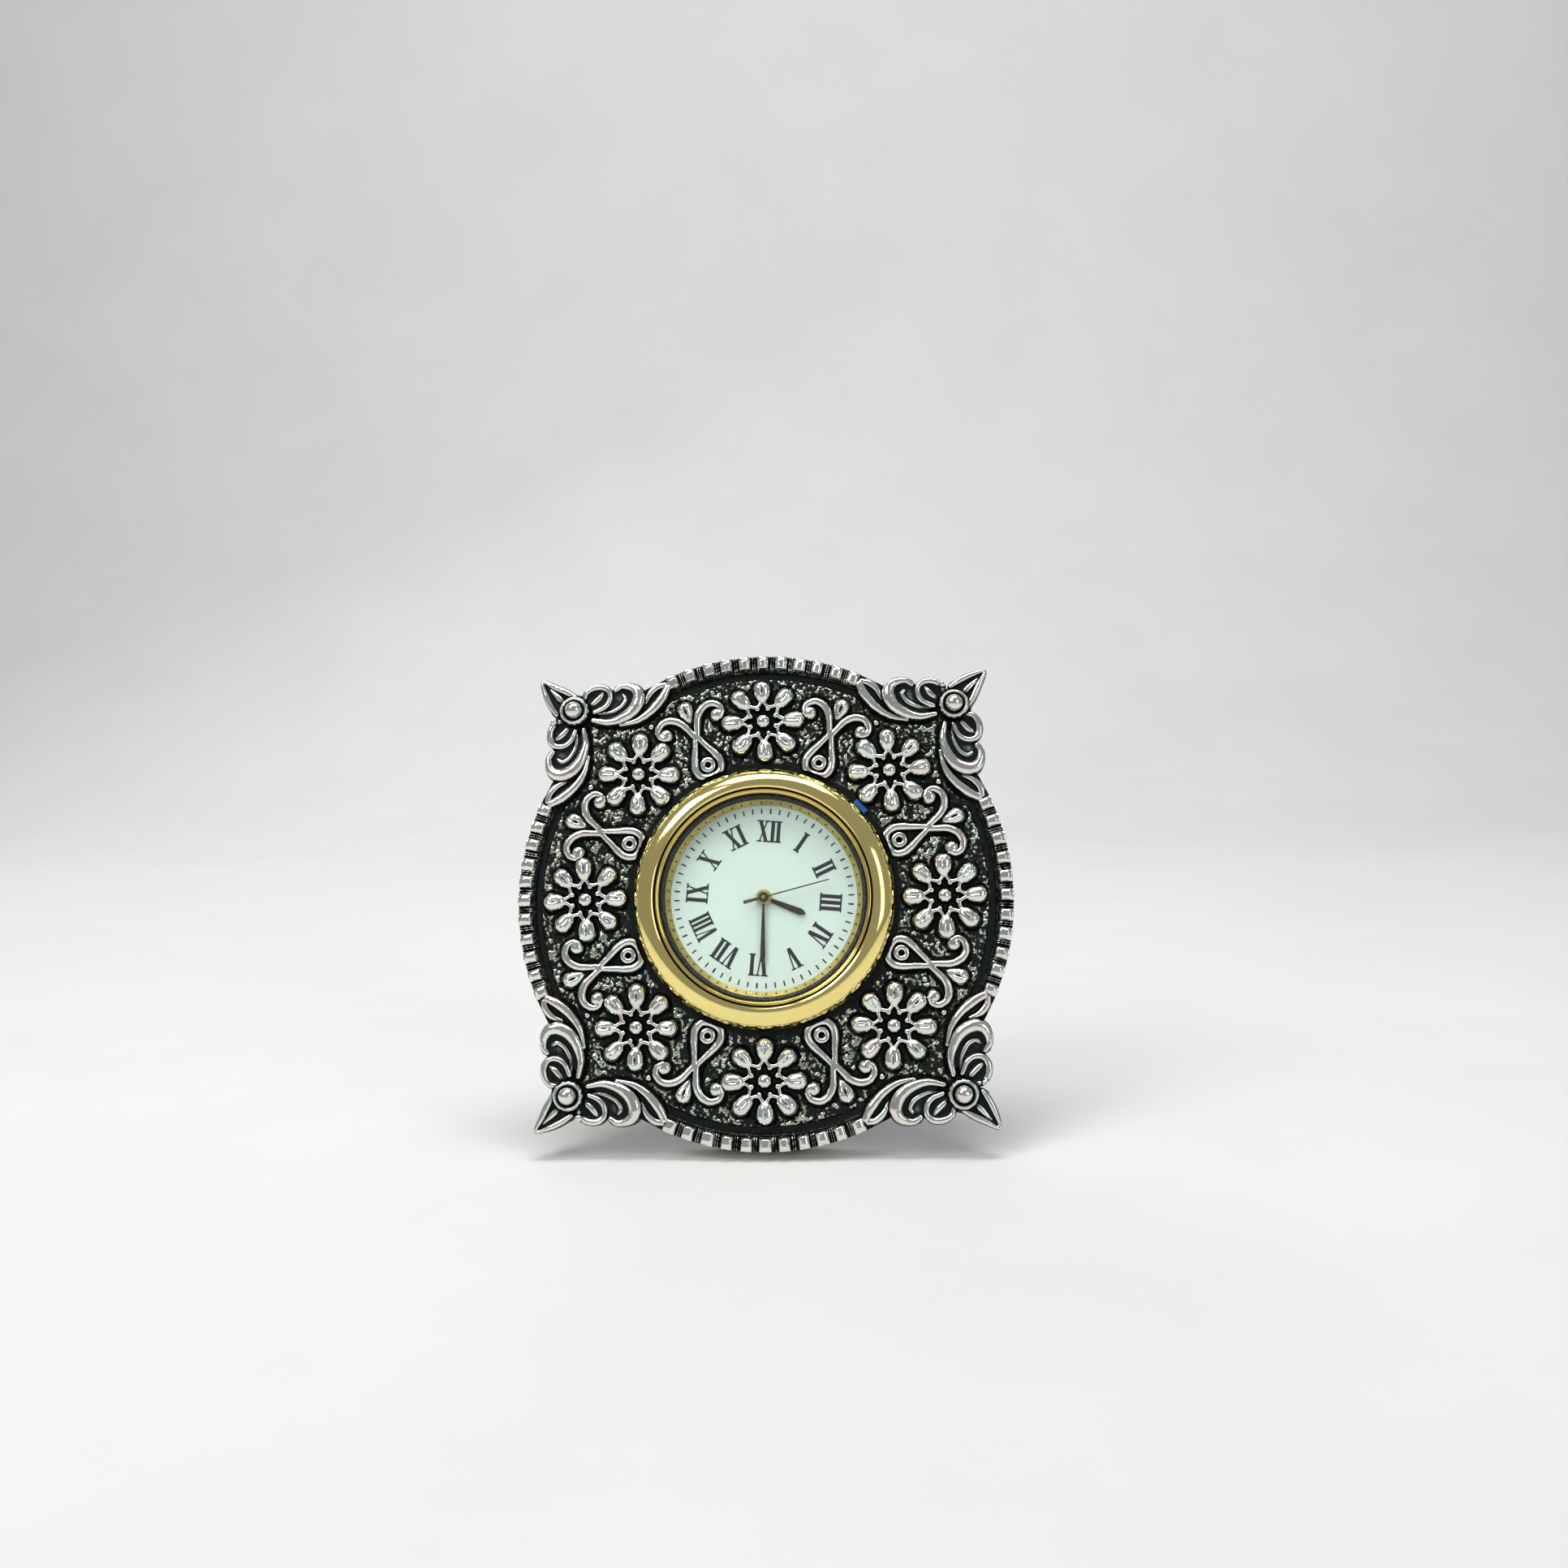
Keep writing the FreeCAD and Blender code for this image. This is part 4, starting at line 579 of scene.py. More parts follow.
def snapped_grid():
    """Grid points with those beside the outline moved on to it, so that edges run smooth."""
    gy, gx = np.gradient(outline, GRID)
    size = np.maximum(np.hypot(gx, gy), 0.3)
    near = np.abs(outline) < 0.62 * GRID
    x = np.where(near, plan_x - outline * gx / size ** 2, plan_x)
    y = np.where(near, plan_y - outline * gy / size ** 2, plan_y)
    return x, y, near


snap_x, snap_y, snap_near = snapped_grid()
inside = (outline < 0) | snap_near


def cell_corners(grid):
    """The values of a grid at the four corners of each of its cells."""
    return np.stack([grid[:-1, :-1], grid[1:, :-1], grid[:-1, 1:], grid[1:, 1:]])


def cell_owner():
    """Which piece each grid cell belongs to; 0 is outside the casting."""
    whole = cell_corners(inside).all(0) & (cell_corners(outline).mean(0) < 0)
    form = cell_corners(owner).max(0)
    x, y = plan_x[:-1, :-1], plan_y[:-1, :-1]
    quarter = 1 + (x > 0) + 2 * (y > 0)
    cell = np.where(form >= FIRST_FLOWER, form, quarter)
    return np.where(whole, cell, 0)


cells = cell_owner()

BACK_OXIDE = 0.3
SKIRT_OXIDE = 0.2
WALL_ANGLE = math.radians(65)


def mark_points(mesh, name, values):
    """Keeps a value at every point of a mesh, for the finishes to read."""
    attribute = mesh.attributes.new(name, "FLOAT", "POINT")
    attribute.data.foreach_set("value", np.asarray(values, np.float32))


def relief_piece(name, number, base):
    """A closed mesh over the cells of one piece: the relief above, a flat base, and walls between."""
    row, col = np.nonzero(cells == number)
    width = plan_x.shape[1]
    a = row * width + col
    quads = np.stack([a, a + 1, a + 1 + width, a + width], 1)
    used, flat = np.unique(quads, return_inverse=True)
    quads = flat.reshape(quads.shape)
    count = len(used)
    edges = np.concatenate([quads[:, [k, (k + 1) % 4]] for k in range(4)])
    key, back = (edges[:, k].astype(np.int64) * count + edges[:, 1 - k] for k in (0, 1))
    border = edges[~np.isin(key, back)]
    top = np.stack([grid.ravel()[used] for grid in (snap_x, snap_y, height)], 1)
    low = top * (1, 1, 0) + (0, 0, base)
    walls = np.hstack([border[:, ::-1], border + count])
    under = quads[:, ::-1] + count
    mesh = bpy.data.meshes.new(name)
    faces = np.concatenate([quads, walls, under])
    mesh.from_pydata(stood(np.concatenate([top, low])).tolist(), [], faces.tolist())
    # The first mark holds the oxide and the painted shade of the steep sides; the underside gets a flat
    # value.
    for mark, mask, below in (("oxide_and_shade", dark_mask, BACK_OXIDE), ("fleck", fleck_mask, 0.0)):
        mark_points(mesh, mark, np.append(mask.ravel()[used], np.full(count, below)))
    mesh.shade_smooth()
    mesh.set_sharp_from_angle(angle=WALL_ANGLE)
    return placed(name, mesh)


def give(piece, body, slot, node):
    """Says what a piece rides, which node it stands for and which material slot it has."""
    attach(piece, body)
    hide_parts(node)
    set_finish(piece, slot)


def ring_faces(turns, count):
    """Quads round a closed ring of closed sections, each with the same count of points."""
    faces = []
    for n in range(turns):
        m = (n + 1) % turns
        for k in range(count):
            j = (k + 1) % count
            faces.append((n * count + k, n * count + j, m * count + j, m * count + k))
    return faces


def add_prism(points, faces, edge, low, high):
    """Adds a solid whose outline, rows of x, y and z, stands at two lifts."""
    count = len(edge)
    lower = [len(points) + n for n in range(count)]
    upper = [n + count for n in lower]
    points += [(x, y, z + lift) for lift in (low, high) for x, y, z in edge]
    faces += [lower[::-1], upper]
    faces += [(lower[n], lower[(n + 1) % count], upper[(n + 1) % count], upper[n]) for n in range(count)]


def shape_from(name, points, faces, smooth=True, sharp_angle=35.0):
    """A mesh from flat millimetre points, with its faces turned outward and its sharp edges kept."""
    mesh = bpy.data.meshes.new(name)
    mesh.from_pydata(stood(points).tolist(), [], [list(map(int, f)) for f in faces])
    work = bmesh.new()
    work.from_mesh(mesh)
    bmesh.ops.remove_doubles(work, verts=work.verts, dist=1e-7)
    bmesh.ops.recalc_face_normals(work, faces=work.faces)
    work.to_mesh(mesh)
    work.free()
    if smooth:
        mesh.shade_smooth()
        mesh.set_sharp_from_angle(angle=math.radians(sharp_angle))
    return placed(name, mesh)


def lathed(name, profile, segments):
    """A closed ring turned about Z from a closed profile of radius and height."""
    points = []
    for n in range(segments):
        a = 2 * math.pi * n / segments
        points += [(radius * math.sin(a), radius * math.cos(a), z) for radius, z in profile]
    return shape_from(name, points, ring_faces(segments, len(profile)))


def arc_points(start, middle, end, count):
    """Points on the arc of under half a turn through three (radius, height) points, less the last."""
    a, b, c = (complex(*point) for point in (start, middle, end))
    w = (c - a) / (b - a)
    centre = a + (b - a) * (w - abs(w) ** 2) / (2j * w.imag)
    turn = np.angle((c - centre) / (a - centre))
    arc = centre + (a - centre) * np.exp(1j * turn * np.arange(count) / count)
    return list(zip(arc.real, arc.imag))


# Casting: its relief pieces and the hollow shell behind them
GROUND_BASE = -0.85
SHELL_TOP = -0.66
SHELL_EDGE = 0.25
SHELL_BORE = BORE_RADIUS + 0.02
SHELL_STEPS = 720
POST_PLACE = 23.6
POST_RADIUS = 2.3
POST_END = -3.5
POST_TOP = PLATE_BACK + 0.1
POST_STEPS = 32


def rounded_square_reach(angle, half, rounding):
    """How far a rounded square's edge lies from its middle, at an angle."""
    c, s = abs(math.cos(angle)), abs(math.sin(angle))
    reach = half / max(c, s)
    straight = half - rounding
    if min(c, s) * reach > straight:
        b = straight * (c + s)
        reach = b + math.sqrt(max(b * b - (2 * straight ** 2 - rounding ** 2), 0))
    return reach


def casting_shell():
    """The plate behind the relief and the skirt round it, as one hollow ring."""
    points = []
    for n in range(SHELL_STEPS):
        a = 2 * math.pi * n / SHELL_STEPS
        out = max(RIM_RADIUS, rounded_square_reach(a, CORNER_HALF, CORNER_ROUND))
        within = max(RIM_RADIUS - SKIRT_WALL,
                     rounded_square_reach(a, CORNER_HALF - SKIRT_WALL, CORNER_ROUND - SKIRT_WALL / 2))
        e = SHELL_EDGE
        ring = [(SHELL_BORE, SHELL_TOP), (out - 0.12, SHELL_TOP), (out - 0.01, SHELL_TOP - 0.25),
                (out, -SKIRT_DEPTH + e), (out - 0.3 * e, -SKIRT_DEPTH + 0.3 * e), (out - e, -SKIRT_DEPTH),
                (within + e, -SKIRT_DEPTH), (within, -SKIRT_DEPTH + e), (within, PLATE_BACK - 0.35),
                (within - 0.1, PLATE_BACK - 0.1), (within - 0.35, PLATE_BACK), (SHELL_BORE, PLATE_BACK)]
        points += [(r * math.sin(a), r * math.cos(a), z) for r, z in ring]
    return shape_from("casting_shell", points, ring_faces(SHELL_STEPS, len(ring)), sharp_angle=50)


def casting_posts():
    """The four screw posts behind the plate."""
    points, faces = [], []
    for x, y in ((-1, -1), (-1, 1), (1, -1), (1, 1)):
        edge = [(x * POST_PLACE + POST_RADIUS * math.cos(t), y * POST_PLACE + POST_RADIUS * math.sin(t), 0)
                for t in np.arange(POST_STEPS) * 2 * math.pi / POST_STEPS]
        add_prism(points, faces, edge, POST_END, POST_TOP)
    return shape_from("casting_posts", points, faces)


def cast(piece):
    """Files flat what would reach under the floor and gives the piece to the casting."""
    for vertex in piece.data.vertices:
        if vertex.co.z < 0:
            vertex.co.z = 0
    give(piece, "casting", "antique_silver", "front_casting")


for n, quarter_name in enumerate(("lower_left", "lower_right", "upper_left", "upper_right")):
    cast(relief_piece("ground_" + quarter_name, n + 1, GROUND_BASE))
for n in range(FLOWER_COUNT):
    cast(relief_piece(f"flower_{n + 1}", FIRST_FLOWER + n, GROUND_BASE))
    cast(relief_piece(f"scroll_{n + 1}", FIRST_SCROLL + n, GROUND_BASE))
for n in range(CORNERS):
    cast(relief_piece(f"corner_leaves_{n + 1}", FIRST_CORNER + n, PLATE_BACK))
    cast(relief_piece(f"bead_rim_{n + 1}", FIRST_BEADS + n, GROUND_BASE))
for piece in (casting_shell(), casting_posts()):
    count = len(piece.data.vertices)
    mark_points(piece.data, "oxide_and_shade", np.full(count, SKIRT_OXIDE))
    mark_points(piece.data, "fleck", np.zeros(count))
    cast(piece)


def mark_painted_shade(piece, is_shaded):
    """Marks with 1 the points that a test of plan radius and height picks out for painted shade, and the
    others with 0.
    """
    marks = []
    for vertex in piece.data.vertices:
        away = vertex.co - DIAL_MIDDLE
        radius = math.hypot(away.dot(RIGHT), away.dot(UPWARD)) / MM
        marks.append(1.0 if is_shaded(radius, away.dot(FORWARD) / MM) else 0.0)
    mark_points(piece.data, "edge", marks)


# Bezel, crystal, rehaut and dial
BEZEL_RADIUS = 18.5
BEZEL_RISE = 0.35
BEZEL_PEAK = 3.1
BEZEL_PEAK_RADIUS = 15.9
BEZEL_EDGE = 0.12
BEZEL_SIDE = (BEZEL_RADIUS, 0.9)
BEZEL_DOME = (17.62, 2.32)
BEZEL_GROOVE = [(15.72, 3.1), (15.60, 3.06), (15.50, 2.99), (15.40, 2.97), (15.36, 2.80), (15.32, 2.70),
                (15.18, 2.68), (15.12, 2.72), (15.09, 2.88), (15.02, 2.94), (14.90, 2.94), (14.83, 2.90),
                (14.80, 2.80), (14.76, 2.74), (14.66, 2.74)]
LIP_RADIUS = 14.6
CRYSTAL_RADIUS = 15.3
CRYSTAL_TOP = 2.3
CRYSTAL_BACK = 1.6
SPIGOT_RADIUS = 16.75
SPIGOT_TOP = 1.15
REHAUT_FOOT = 13.15
REHAUT_TOP = 14.3
REHAUT_BEND = 13.88
REHAUT_BEND_HEIGHT = 0.9
DIAL_TOP = 0.2
DIAL_BACK = -0.2
REHAUT_START = REHAUT_FOOT + 0.05
REHAUT_START_HEIGHT = DIAL_TOP + 0.12
DIAL_RADIUS = 15.0
DIAL_HOLE = 1.0
DIAL_TURN = 4.8


def bezel():
    """A domed ring with a fine groove and step round its inner edge."""
    crest = (BEZEL_PEAK_RADIUS, BEZEL_PEAK)
    profile = [(BEZEL_RADIUS - BEZEL_EDGE, BEZEL_RISE), (BEZEL_RADIUS, BEZEL_RISE + BEZEL_EDGE)]
    profile += arc_points(BEZEL_SIDE, BEZEL_DOME, crest, 22)
    profile += [crest, *BEZEL_GROOVE, (LIP_RADIUS, 2.68), (LIP_RADIUS, CRYSTAL_TOP),
                (CRYSTAL_RADIUS + 0.05, CRYSTAL_TOP), (CRYSTAL_RADIUS + 0.05, SPIGOT_TOP),
                (SPIGOT_RADIUS, SPIGOT_TOP), (SPIGOT_RADIUS, BEZEL_RISE)]
    piece = lathed("bezel_ring", profile, 256)
    # Painted shade in the groove, on the inner wall of the lip below the groove and at the foot where the
    # bezel meets the casting.
    mark_painted_shade(piece, lambda radius, height: 15.1 < radius < 15.35 or radius < 14.7 and height < 2.72
               or radius > 18.3 and height < 0.8)
    return piece


def crystal():
    edge = 0.06
    profile = [(0.001, CRYSTAL_BACK), (CRYSTAL_RADIUS - edge, CRYSTAL_BACK),
               (CRYSTAL_RADIUS, CRYSTAL_BACK + edge), (CRYSTAL_RADIUS, CRYSTAL_TOP - edge),
               (CRYSTAL_RADIUS - edge, CRYSTAL_TOP), (0.001, CRYSTAL_TOP)]
    return lathed("crystal_disc", profile, 128)


def rehaut():
    profile = [(REHAUT_FOOT, DIAL_TOP), (REHAUT_START, REHAUT_START_HEIGHT),
               (REHAUT_BEND, REHAUT_BEND_HEIGHT), (REHAUT_BEND + 0.03, REHAUT_BEND_HEIGHT + 0.05),
               (REHAUT_TOP - 0.04, CRYSTAL_BACK - 0.1), (REHAUT_TOP, CRYSTAL_BACK),
               (CRYSTAL_RADIUS, CRYSTAL_BACK), (CRYSTAL_RADIUS, DIAL_TOP)]
    piece = lathed("rehaut_slope", profile, 256)
    # Painted shadow on the upper part of the slope, under the bezel lip.
    mark_painted_shade(piece, lambda radius, height: radius > REHAUT_BEND + 0.01)
    return piece


DOT_COUNT = 60
DOT_SIDES = 8
DOT_SIZE = 0.13
DOT_RING = 13.52
DOT_SINK = 0.02
DOT_LIFT = 0.012


def on_rehaut(radius):
    """The height of the slope at a radius."""
    share = (radius - REHAUT_START) / (REHAUT_BEND - REHAUT_START)
    return REHAUT_START_HEIGHT + share * (REHAUT_BEND_HEIGHT - REHAUT_START_HEIGHT)


def rehaut_dots():
    """Small dark dots, one a minute, lying on the slope."""
    points, faces = [], []
    for n in range(DOT_COUNT):
        out, across = heading(n * 360 / DOT_COUNT + DIAL_TURN)
        edge = []
        for k in range(DOT_SIDES):
            t = 2 * math.pi * k / DOT_SIDES
            r = DOT_RING + DOT_SIZE * math.cos(t)
            edge.append((*(out * r + across * DOT_SIZE * math.sin(t)), on_rehaut(r)))
        add_prism(points, faces, edge, -DOT_SINK, DOT_LIFT)
    return shape_from("rehaut_dots", points, faces)


def dial_plate():
    edge = 0.04
    profile = [(DIAL_HOLE, DIAL_BACK), (DIAL_RADIUS, DIAL_BACK), (DIAL_RADIUS, DIAL_TOP - edge),
               (DIAL_RADIUS - edge, DIAL_TOP), (DIAL_HOLE + edge, DIAL_TOP), (DIAL_HOLE, DIAL_TOP - edge)]
    return lathed("dial_plate", profile, 192)


# Printed marks on the dial
PRINT_LIFT = 0.02
PRINT_SINK = 0.03
NUMERAL_RING = 9.45
NUMERAL_HEIGHT = 3.1
THICK = 0.54
THIN = 0.2
SERIF = 0.22
V_SPREAD = 0.505
X_SPREAD = 0.515
NUMERAL_ROOM = 3.5
TICK_INNER = 11.95
TICK_OUTER = 12.7
TICK_WIDTH = 0.2
HOUR_TICK_WIDTH = 0.24
# Each letter: its width, its strokes (foot, head, width), its cross strokes (middle, half, at the top)
LETTERS = {
    "I": (0.86, [(0, 0, THICK)], [(0, 0.45, True), (0, 0.45, False)]),
    "V": (1.85, [(-0.04, -V_SPREAD, THICK), (0.12, V_SPREAD, THIN)],
          [(-V_SPREAD, 0.48, True), (V_SPREAD, 0.34, True)]),
    "X": (1.95, [(X_SPREAD, -X_SPREAD, THICK), (-X_SPREAD, X_SPREAD, THIN)],
          [(-X_SPREAD, 0.48, True), (X_SPREAD, 0.36, True), (-X_SPREAD, 0.36, False),
           (X_SPREAD, 0.48, False)]),
}
NUMERALS = ("XII", "I", "II", "III", "IV", "V", "VI", "VII", "VIII", "IX", "X", "XI")


def slanted(bottom, top, width):
    """A stroke of a letter from a place on the base line to a place on the top line."""
    y, half = NUMERAL_HEIGHT / 2, width / 2
    return [(bottom - half, -y), (bottom + half, -y), (top + half, y), (top - half, y)]


def foot_bar(middle, half, top):
    """The cross stroke at the top or the foot of a letter."""
    low = NUMERAL_HEIGHT / 2 - SERIF if top else -NUMERAL_HEIGHT / 2
    high = low + SERIF
    return [(middle - half, low), (middle + half, low), (middle + half, high), (middle - half, high)]


def numeral_strokes(text):
    """A numeral's strokes side by side about its middle, and its width."""
    total = sum(LETTERS[letter][0] for letter in text)
    strokes, x = [], -total / 2
    for letter in text:
        width, slants, bars = LETTERS[letter]
        for stroke in [slanted(*row) for row in slants] + [foot_bar(*row) for row in bars]:
            strokes.append([(px + x + width / 2, py) for px, py in stroke])
        x += width
    return strokes, total


def add_print(points, faces, strokes, ring, angle, narrow=1.0):
    """Adds flat strokes set upright on a radius of the dial to some points and faces."""
    out, across = heading(angle + DIAL_TURN)
    for k, stroke in enumerate(strokes):
        edge = [(*(out * (ring + py) + across * px * narrow), 0) for px, py in stroke]
        add_prism(points, faces, edge, DIAL_TOP - PRINT_SINK, DIAL_TOP + PRINT_LIFT + 0.001 * k)


def dial_print():
    points, faces = [], []
    for n, text in enumerate(NUMERALS):
        strokes, total = numeral_strokes(text)
        add_print(points, faces, strokes, NUMERAL_RING, n * 30, min(1.0, NUMERAL_ROOM / total))
    middle, half = (TICK_INNER + TICK_OUTER) / 2, (TICK_OUTER - TICK_INNER) / 2
    for n in range(60):
        w = (TICK_WIDTH if n % 5 else HOUR_TICK_WIDTH) / 2
        add_print(points, faces, [[(-w, -half), (w, -half), (w, half), (-w, half)]], middle, n * 6)
    return shape_from("dial_print", points, faces, smooth=False)


for make, slot, node in ((bezel, "gilt", "bezel"), (crystal, "crystal_glass", "crystal"),
                         (rehaut, "gilt", "rehaut_ring"), (rehaut_dots, "gilt", "rehaut_ring"),
                         (dial_plate, "dial_white", "dial"), (dial_print, "dial_white", "dial")):
    give(make(), "clock_unit", slot, node)

# Hands
HAND_THICKNESS = 0.15
HAND_EDGE = HAND_THICKNESS * 0.55
PIN_RADIUS = 0.3
PIN_BORE = 0.02
PIN_FOOT = 0.2
PIN_TOP = 0.34
SECOND_ROWS = [(-2.9, 0.42), (-2.75, 0.5), (-1.2, 0.42), (-0.7, 0.24), (0.0, 0.22), (9.4, 0.16), (9.6, 0.1)]


def hand_shape(length, width, neck):
    """A hand that widens steadily to a cut point, as places along it and widths, pointing to twelve."""
    return [(0.0, neck), (length * 0.45, (neck + width) * 0.52), (length * 0.86, width),
            (length * 0.92, width * 0.78), (length, 0.04)]


def ridged(name, rows, low, angle):
    """A thin blade from rows of place and width; its middle line stands a little higher than its edges."""
    points = []
    out, across = heading(angle + DIAL_TURN)
    for y, width in rows:
        for x, z in ((-width / 2, 0.0), (width / 2, 0.0), (width / 2, HAND_EDGE),
                     (0.0, HAND_THICKNESS), (-width / 2, HAND_EDGE)):
            px, py = out * y + across * x
            points.append((px, py, low + z))
    faces = ring_faces(len(rows), 5)[:-5]
    faces += [range(5), range(len(points) - 5, len(points))]
    return shape_from(name, points, faces, sharp_angle=20)


def boss(name, outer, bore, low, high):
    """A turned boss with a rounded edge."""
    edge = min(0.07, (high - low) / 3)
    profile = [(bore, low), (outer, low), (outer, high - 2 * edge), (outer - 0.3 * edge, high - 0.7 * edge),
               (outer - edge, high), (bore + edge, high), (bore, high - edge)]
    return lathed(name, profile, 48)


# Each hand: its body, its rows, its height over the dial, its angle, its boss's radius, bore and height
HANDS = {
    "hour_hand": ("hours", hand_shape(6.4, 0.95, 0.45), 0.25, 107.0, 1.15, 0.9, 0.2),
    "minute_hand": ("minutes", hand_shape(9.6, 0.72, 0.26), 0.6, 176.2, 0.95, 0.62, 0.2),
    "second_hand": ("seconds", SECOND_ROWS, 0.95, 70.7, 0.7, 0.05, 0.24),
}
for name, (body, rows, rise, angle, radius, bore, boss_height) in HANDS.items():
    low = DIAL_TOP + rise
    give(ridged(name + "_blade", rows, low, angle), body, "dark_gilt", name)
    give(boss(name + "_boss", radius, bore, low, low + boss_height), body, "dark_gilt", name)
low = DIAL_TOP + HANDS["second_hand"][2]
give(boss("second_hand_pin", PIN_RADIUS, PIN_BORE, low + PIN_FOOT, low + PIN_TOP), "seconds", "dark_gilt",
     "second_hand")

# Finishes
NOISE_SCALE = 1000.0


def new_finish(name):
    """A new material, its node tree and the shader in it."""
    material = bpy.data.materials.new(name)
    material.use_nodes = True
    return material, material.node_tree, material.node_tree.nodes["Principled BSDF"]


def add(tree, kind, **values):
    node = tree.nodes.new(kind)
    for key, value in values.items():
        if hasattr(node, key):
            setattr(node, key, value)
        else:
            node.inputs[key.replace("_", " ")].default_value = value
    return node


def ramp(tree, source, stops):
    node = tree.nodes.new("ShaderNodeValToRGB")
    elements = node.color_ramp.elements
    while len(elements) < len(stops):
        elements.new(0.5)
    for element, (place, colour) in zip(elements, stops):
        element.position = place
        element.color = (*colour, 1)
    tree.links.new(source, node.inputs[0])
    return node.outputs[0]


def feed(tree, node, sources):
    """Sets sockets of a node to numbers or colours, or links other sockets to them."""
    for place, source in sources.items():
        if isinstance(source, (int, float)):
            node.inputs[place].default_value = source
        elif isinstance(source, tuple):
            node.inputs[place].default_value = (*source, 1)
        else:
            tree.links.new(source, node.inputs[place])


def wire(tree, node, **sources):
    feed(tree, node, {name.replace("_", " "): source for name, source in sources.items()})


def mixed(tree, factor, first, second):
    node = add(tree, "ShaderNodeMix", data_type="RGBA")
    feed(tree, node, {0: factor, 6: first, 7: second})
    return node.outputs[2]


def maths(tree, operation, first, second=0.0, clamp=False):
    node = add(tree, "ShaderNodeMath", operation=operation, use_clamp=clamp)
    feed(tree, node, {0: first, 1: second})
    return node.outputs[0]


def worn_group():
    """Shared masks on the object's own coordinates: soft blotches, fine grain and a fine bump normal."""
    tree = bpy.data.node_groups.new("surface_wear", "ShaderNodeTree")
    for name, way, kind in (("Scale", "INPUT", "Float"), ("Bump", "INPUT", "Float"),
                            ("Blotch", "OUTPUT", "Float"), ("Grain", "OUTPUT", "Float"),
                            ("Normal", "OUTPUT", "Vector")):
        tree.interface.new_socket(name, in_out=way, socket_type="NodeSocket" + kind)
    start = tree.nodes.new("NodeGroupInput")
    end = tree.nodes.new("NodeGroupOutput")
    place = tree.nodes.new("ShaderNodeTexCoord")
    sized = add(tree, "ShaderNodeVectorMath", operation="SCALE")
    scale = maths(tree, "MULTIPLY", start.outputs["Scale"], NOISE_SCALE)
    feed(tree, sized, {0: place.outputs["Object"], "Scale": scale})
    blotch = add(tree, "ShaderNodeTexNoise", Scale=0.35, Detail=4.0, Roughness=0.6)
    grain_noise = add(tree, "ShaderNodeTexNoise", Scale=4.0, Detail=5.0, Roughness=0.65)
    for node in (blotch, grain_noise):
        wire(tree, node, Vector=sized.outputs[0])
    bumped = add(tree, "ShaderNodeBump", Distance=0.00005)
    wire(tree, bumped, Strength=start.outputs["Bump"], Height=grain_noise.outputs["Fac"])
    wire(tree, end, Blotch=blotch.outputs["Fac"], Grain=grain_noise.outputs["Fac"], Normal=bumped.outputs[0])
    return tree


WEAR = worn_group()


def wear(tree, scale, bump):
    return add(tree, "ShaderNodeGroup", node_tree=WEAR, Scale=scale, Bump=bump)


def finish_from(name, light, dark, metallic, rough_low, rough_high, scale, bump):
    """A finish whose colour and roughness both wander with the shared wear masks."""
    material, tree, shader = new_finish(name)
    wire(tree, shader, Metallic=metallic, Sheen_Weight=FELTED.get(name, 0.0))
    masks = wear(tree, scale, bump)
    colour = ramp(tree, masks.outputs["Blotch"], [(0.35, dark), (0.7, light)])
    rough = add(tree, "ShaderNodeMapRange", From_Min=0.3, From_Max=0.7, To_Min=rough_low, To_Max=rough_high)
    wire(tree, rough, Value=masks.outputs["Grain"])
    wire(tree, shader, Base_Color=colour, Roughness=rough.outputs[0], Normal=masks.outputs["Normal"])
    return material


def antique_silver():
    """Polished high silver over black oxide; the mesh says where the oxide stayed and where painted shade
    darkens the steep sides.
    """
    material, tree, shader = new_finish("antique_silver")
    wire(tree, shader, Metallic=1.0)
    oxide_and_shade = add(tree, "ShaderNodeAttribute", attribute_name="oxide_and_shade")
    fleck = add(tree, "ShaderNodeAttribute", attribute_name="fleck")
    masks = wear(tree, 1.0, 0.10)
    wander, cloud = (maths(tree, "MULTIPLY", maths(tree, "SUBTRACT", masks.outputs[name], 0.5), share)
                     for name, share in (("Grain", 0.7), ("Blotch", 0.5)))
    # The amount is the oxide with the painted shade of the steep sides, plus grain and blotches.
    amount = maths(tree, "ADD", oxide_and_shade.outputs["Fac"], maths(tree, "ADD", wander, cloud), clamp=True)
    cool = ramp(tree, amount, [(0.12, (0.78, 0.83, 0.76)), (0.36, (0.46, 0.50, 0.46)),
                               (0.54, (0.05, 0.075, 0.07)), (0.80, (0.004, 0.008, 0.008))])
    warm = ramp(tree, amount, [(0.12, (0.80, 0.73, 0.69)), (0.36, (0.47, 0.44, 0.41)),
                               (0.54, (0.065, 0.06, 0.055)), (0.80, (0.006, 0.006, 0.006))])
    tint = ramp(tree, masks.outputs["Blotch"], [(0.44, (0, 0, 0)), (0.62, (1, 1, 1))])
    colour = mixed(tree, tint, cool, warm)
    greenish = mixed(tree, maths(tree, "MULTIPLY", fleck.outputs["Fac"], 0.8), colour, (0.45, 0.50, 0.36))
    rough = ramp(tree, amount, [(0.1, (0.16,) * 3), (0.5, (0.30,) * 3), (0.9, (0.46,) * 3)])
    metal = ramp(tree, amount, [(0.6, (1,) * 3), (0.95, (0.55,) * 3)])
    wire(tree, shader, Base_Color=greenish, Roughness=rough, Metallic=metal, Normal=masks.outputs["Normal"])
    return material


def paint_edge_shade(material, dark):
    """Darkens a finish with painted shade where the mesh marks a shaded groove, recess or edge."""
    tree = material.node_tree
    shader = tree.nodes["Principled BSDF"]
    bright = shader.inputs["Base Color"].links[0].from_socket
    edge = add(tree, "ShaderNodeAttribute", attribute_name="edge")
    mask = ramp(tree, edge.outputs["Fac"], [(0.45, (0, 0, 0)), (0.75, (1, 1, 1))])
    wire(tree, shader, Base_Color=mixed(tree, mask, bright, dark))


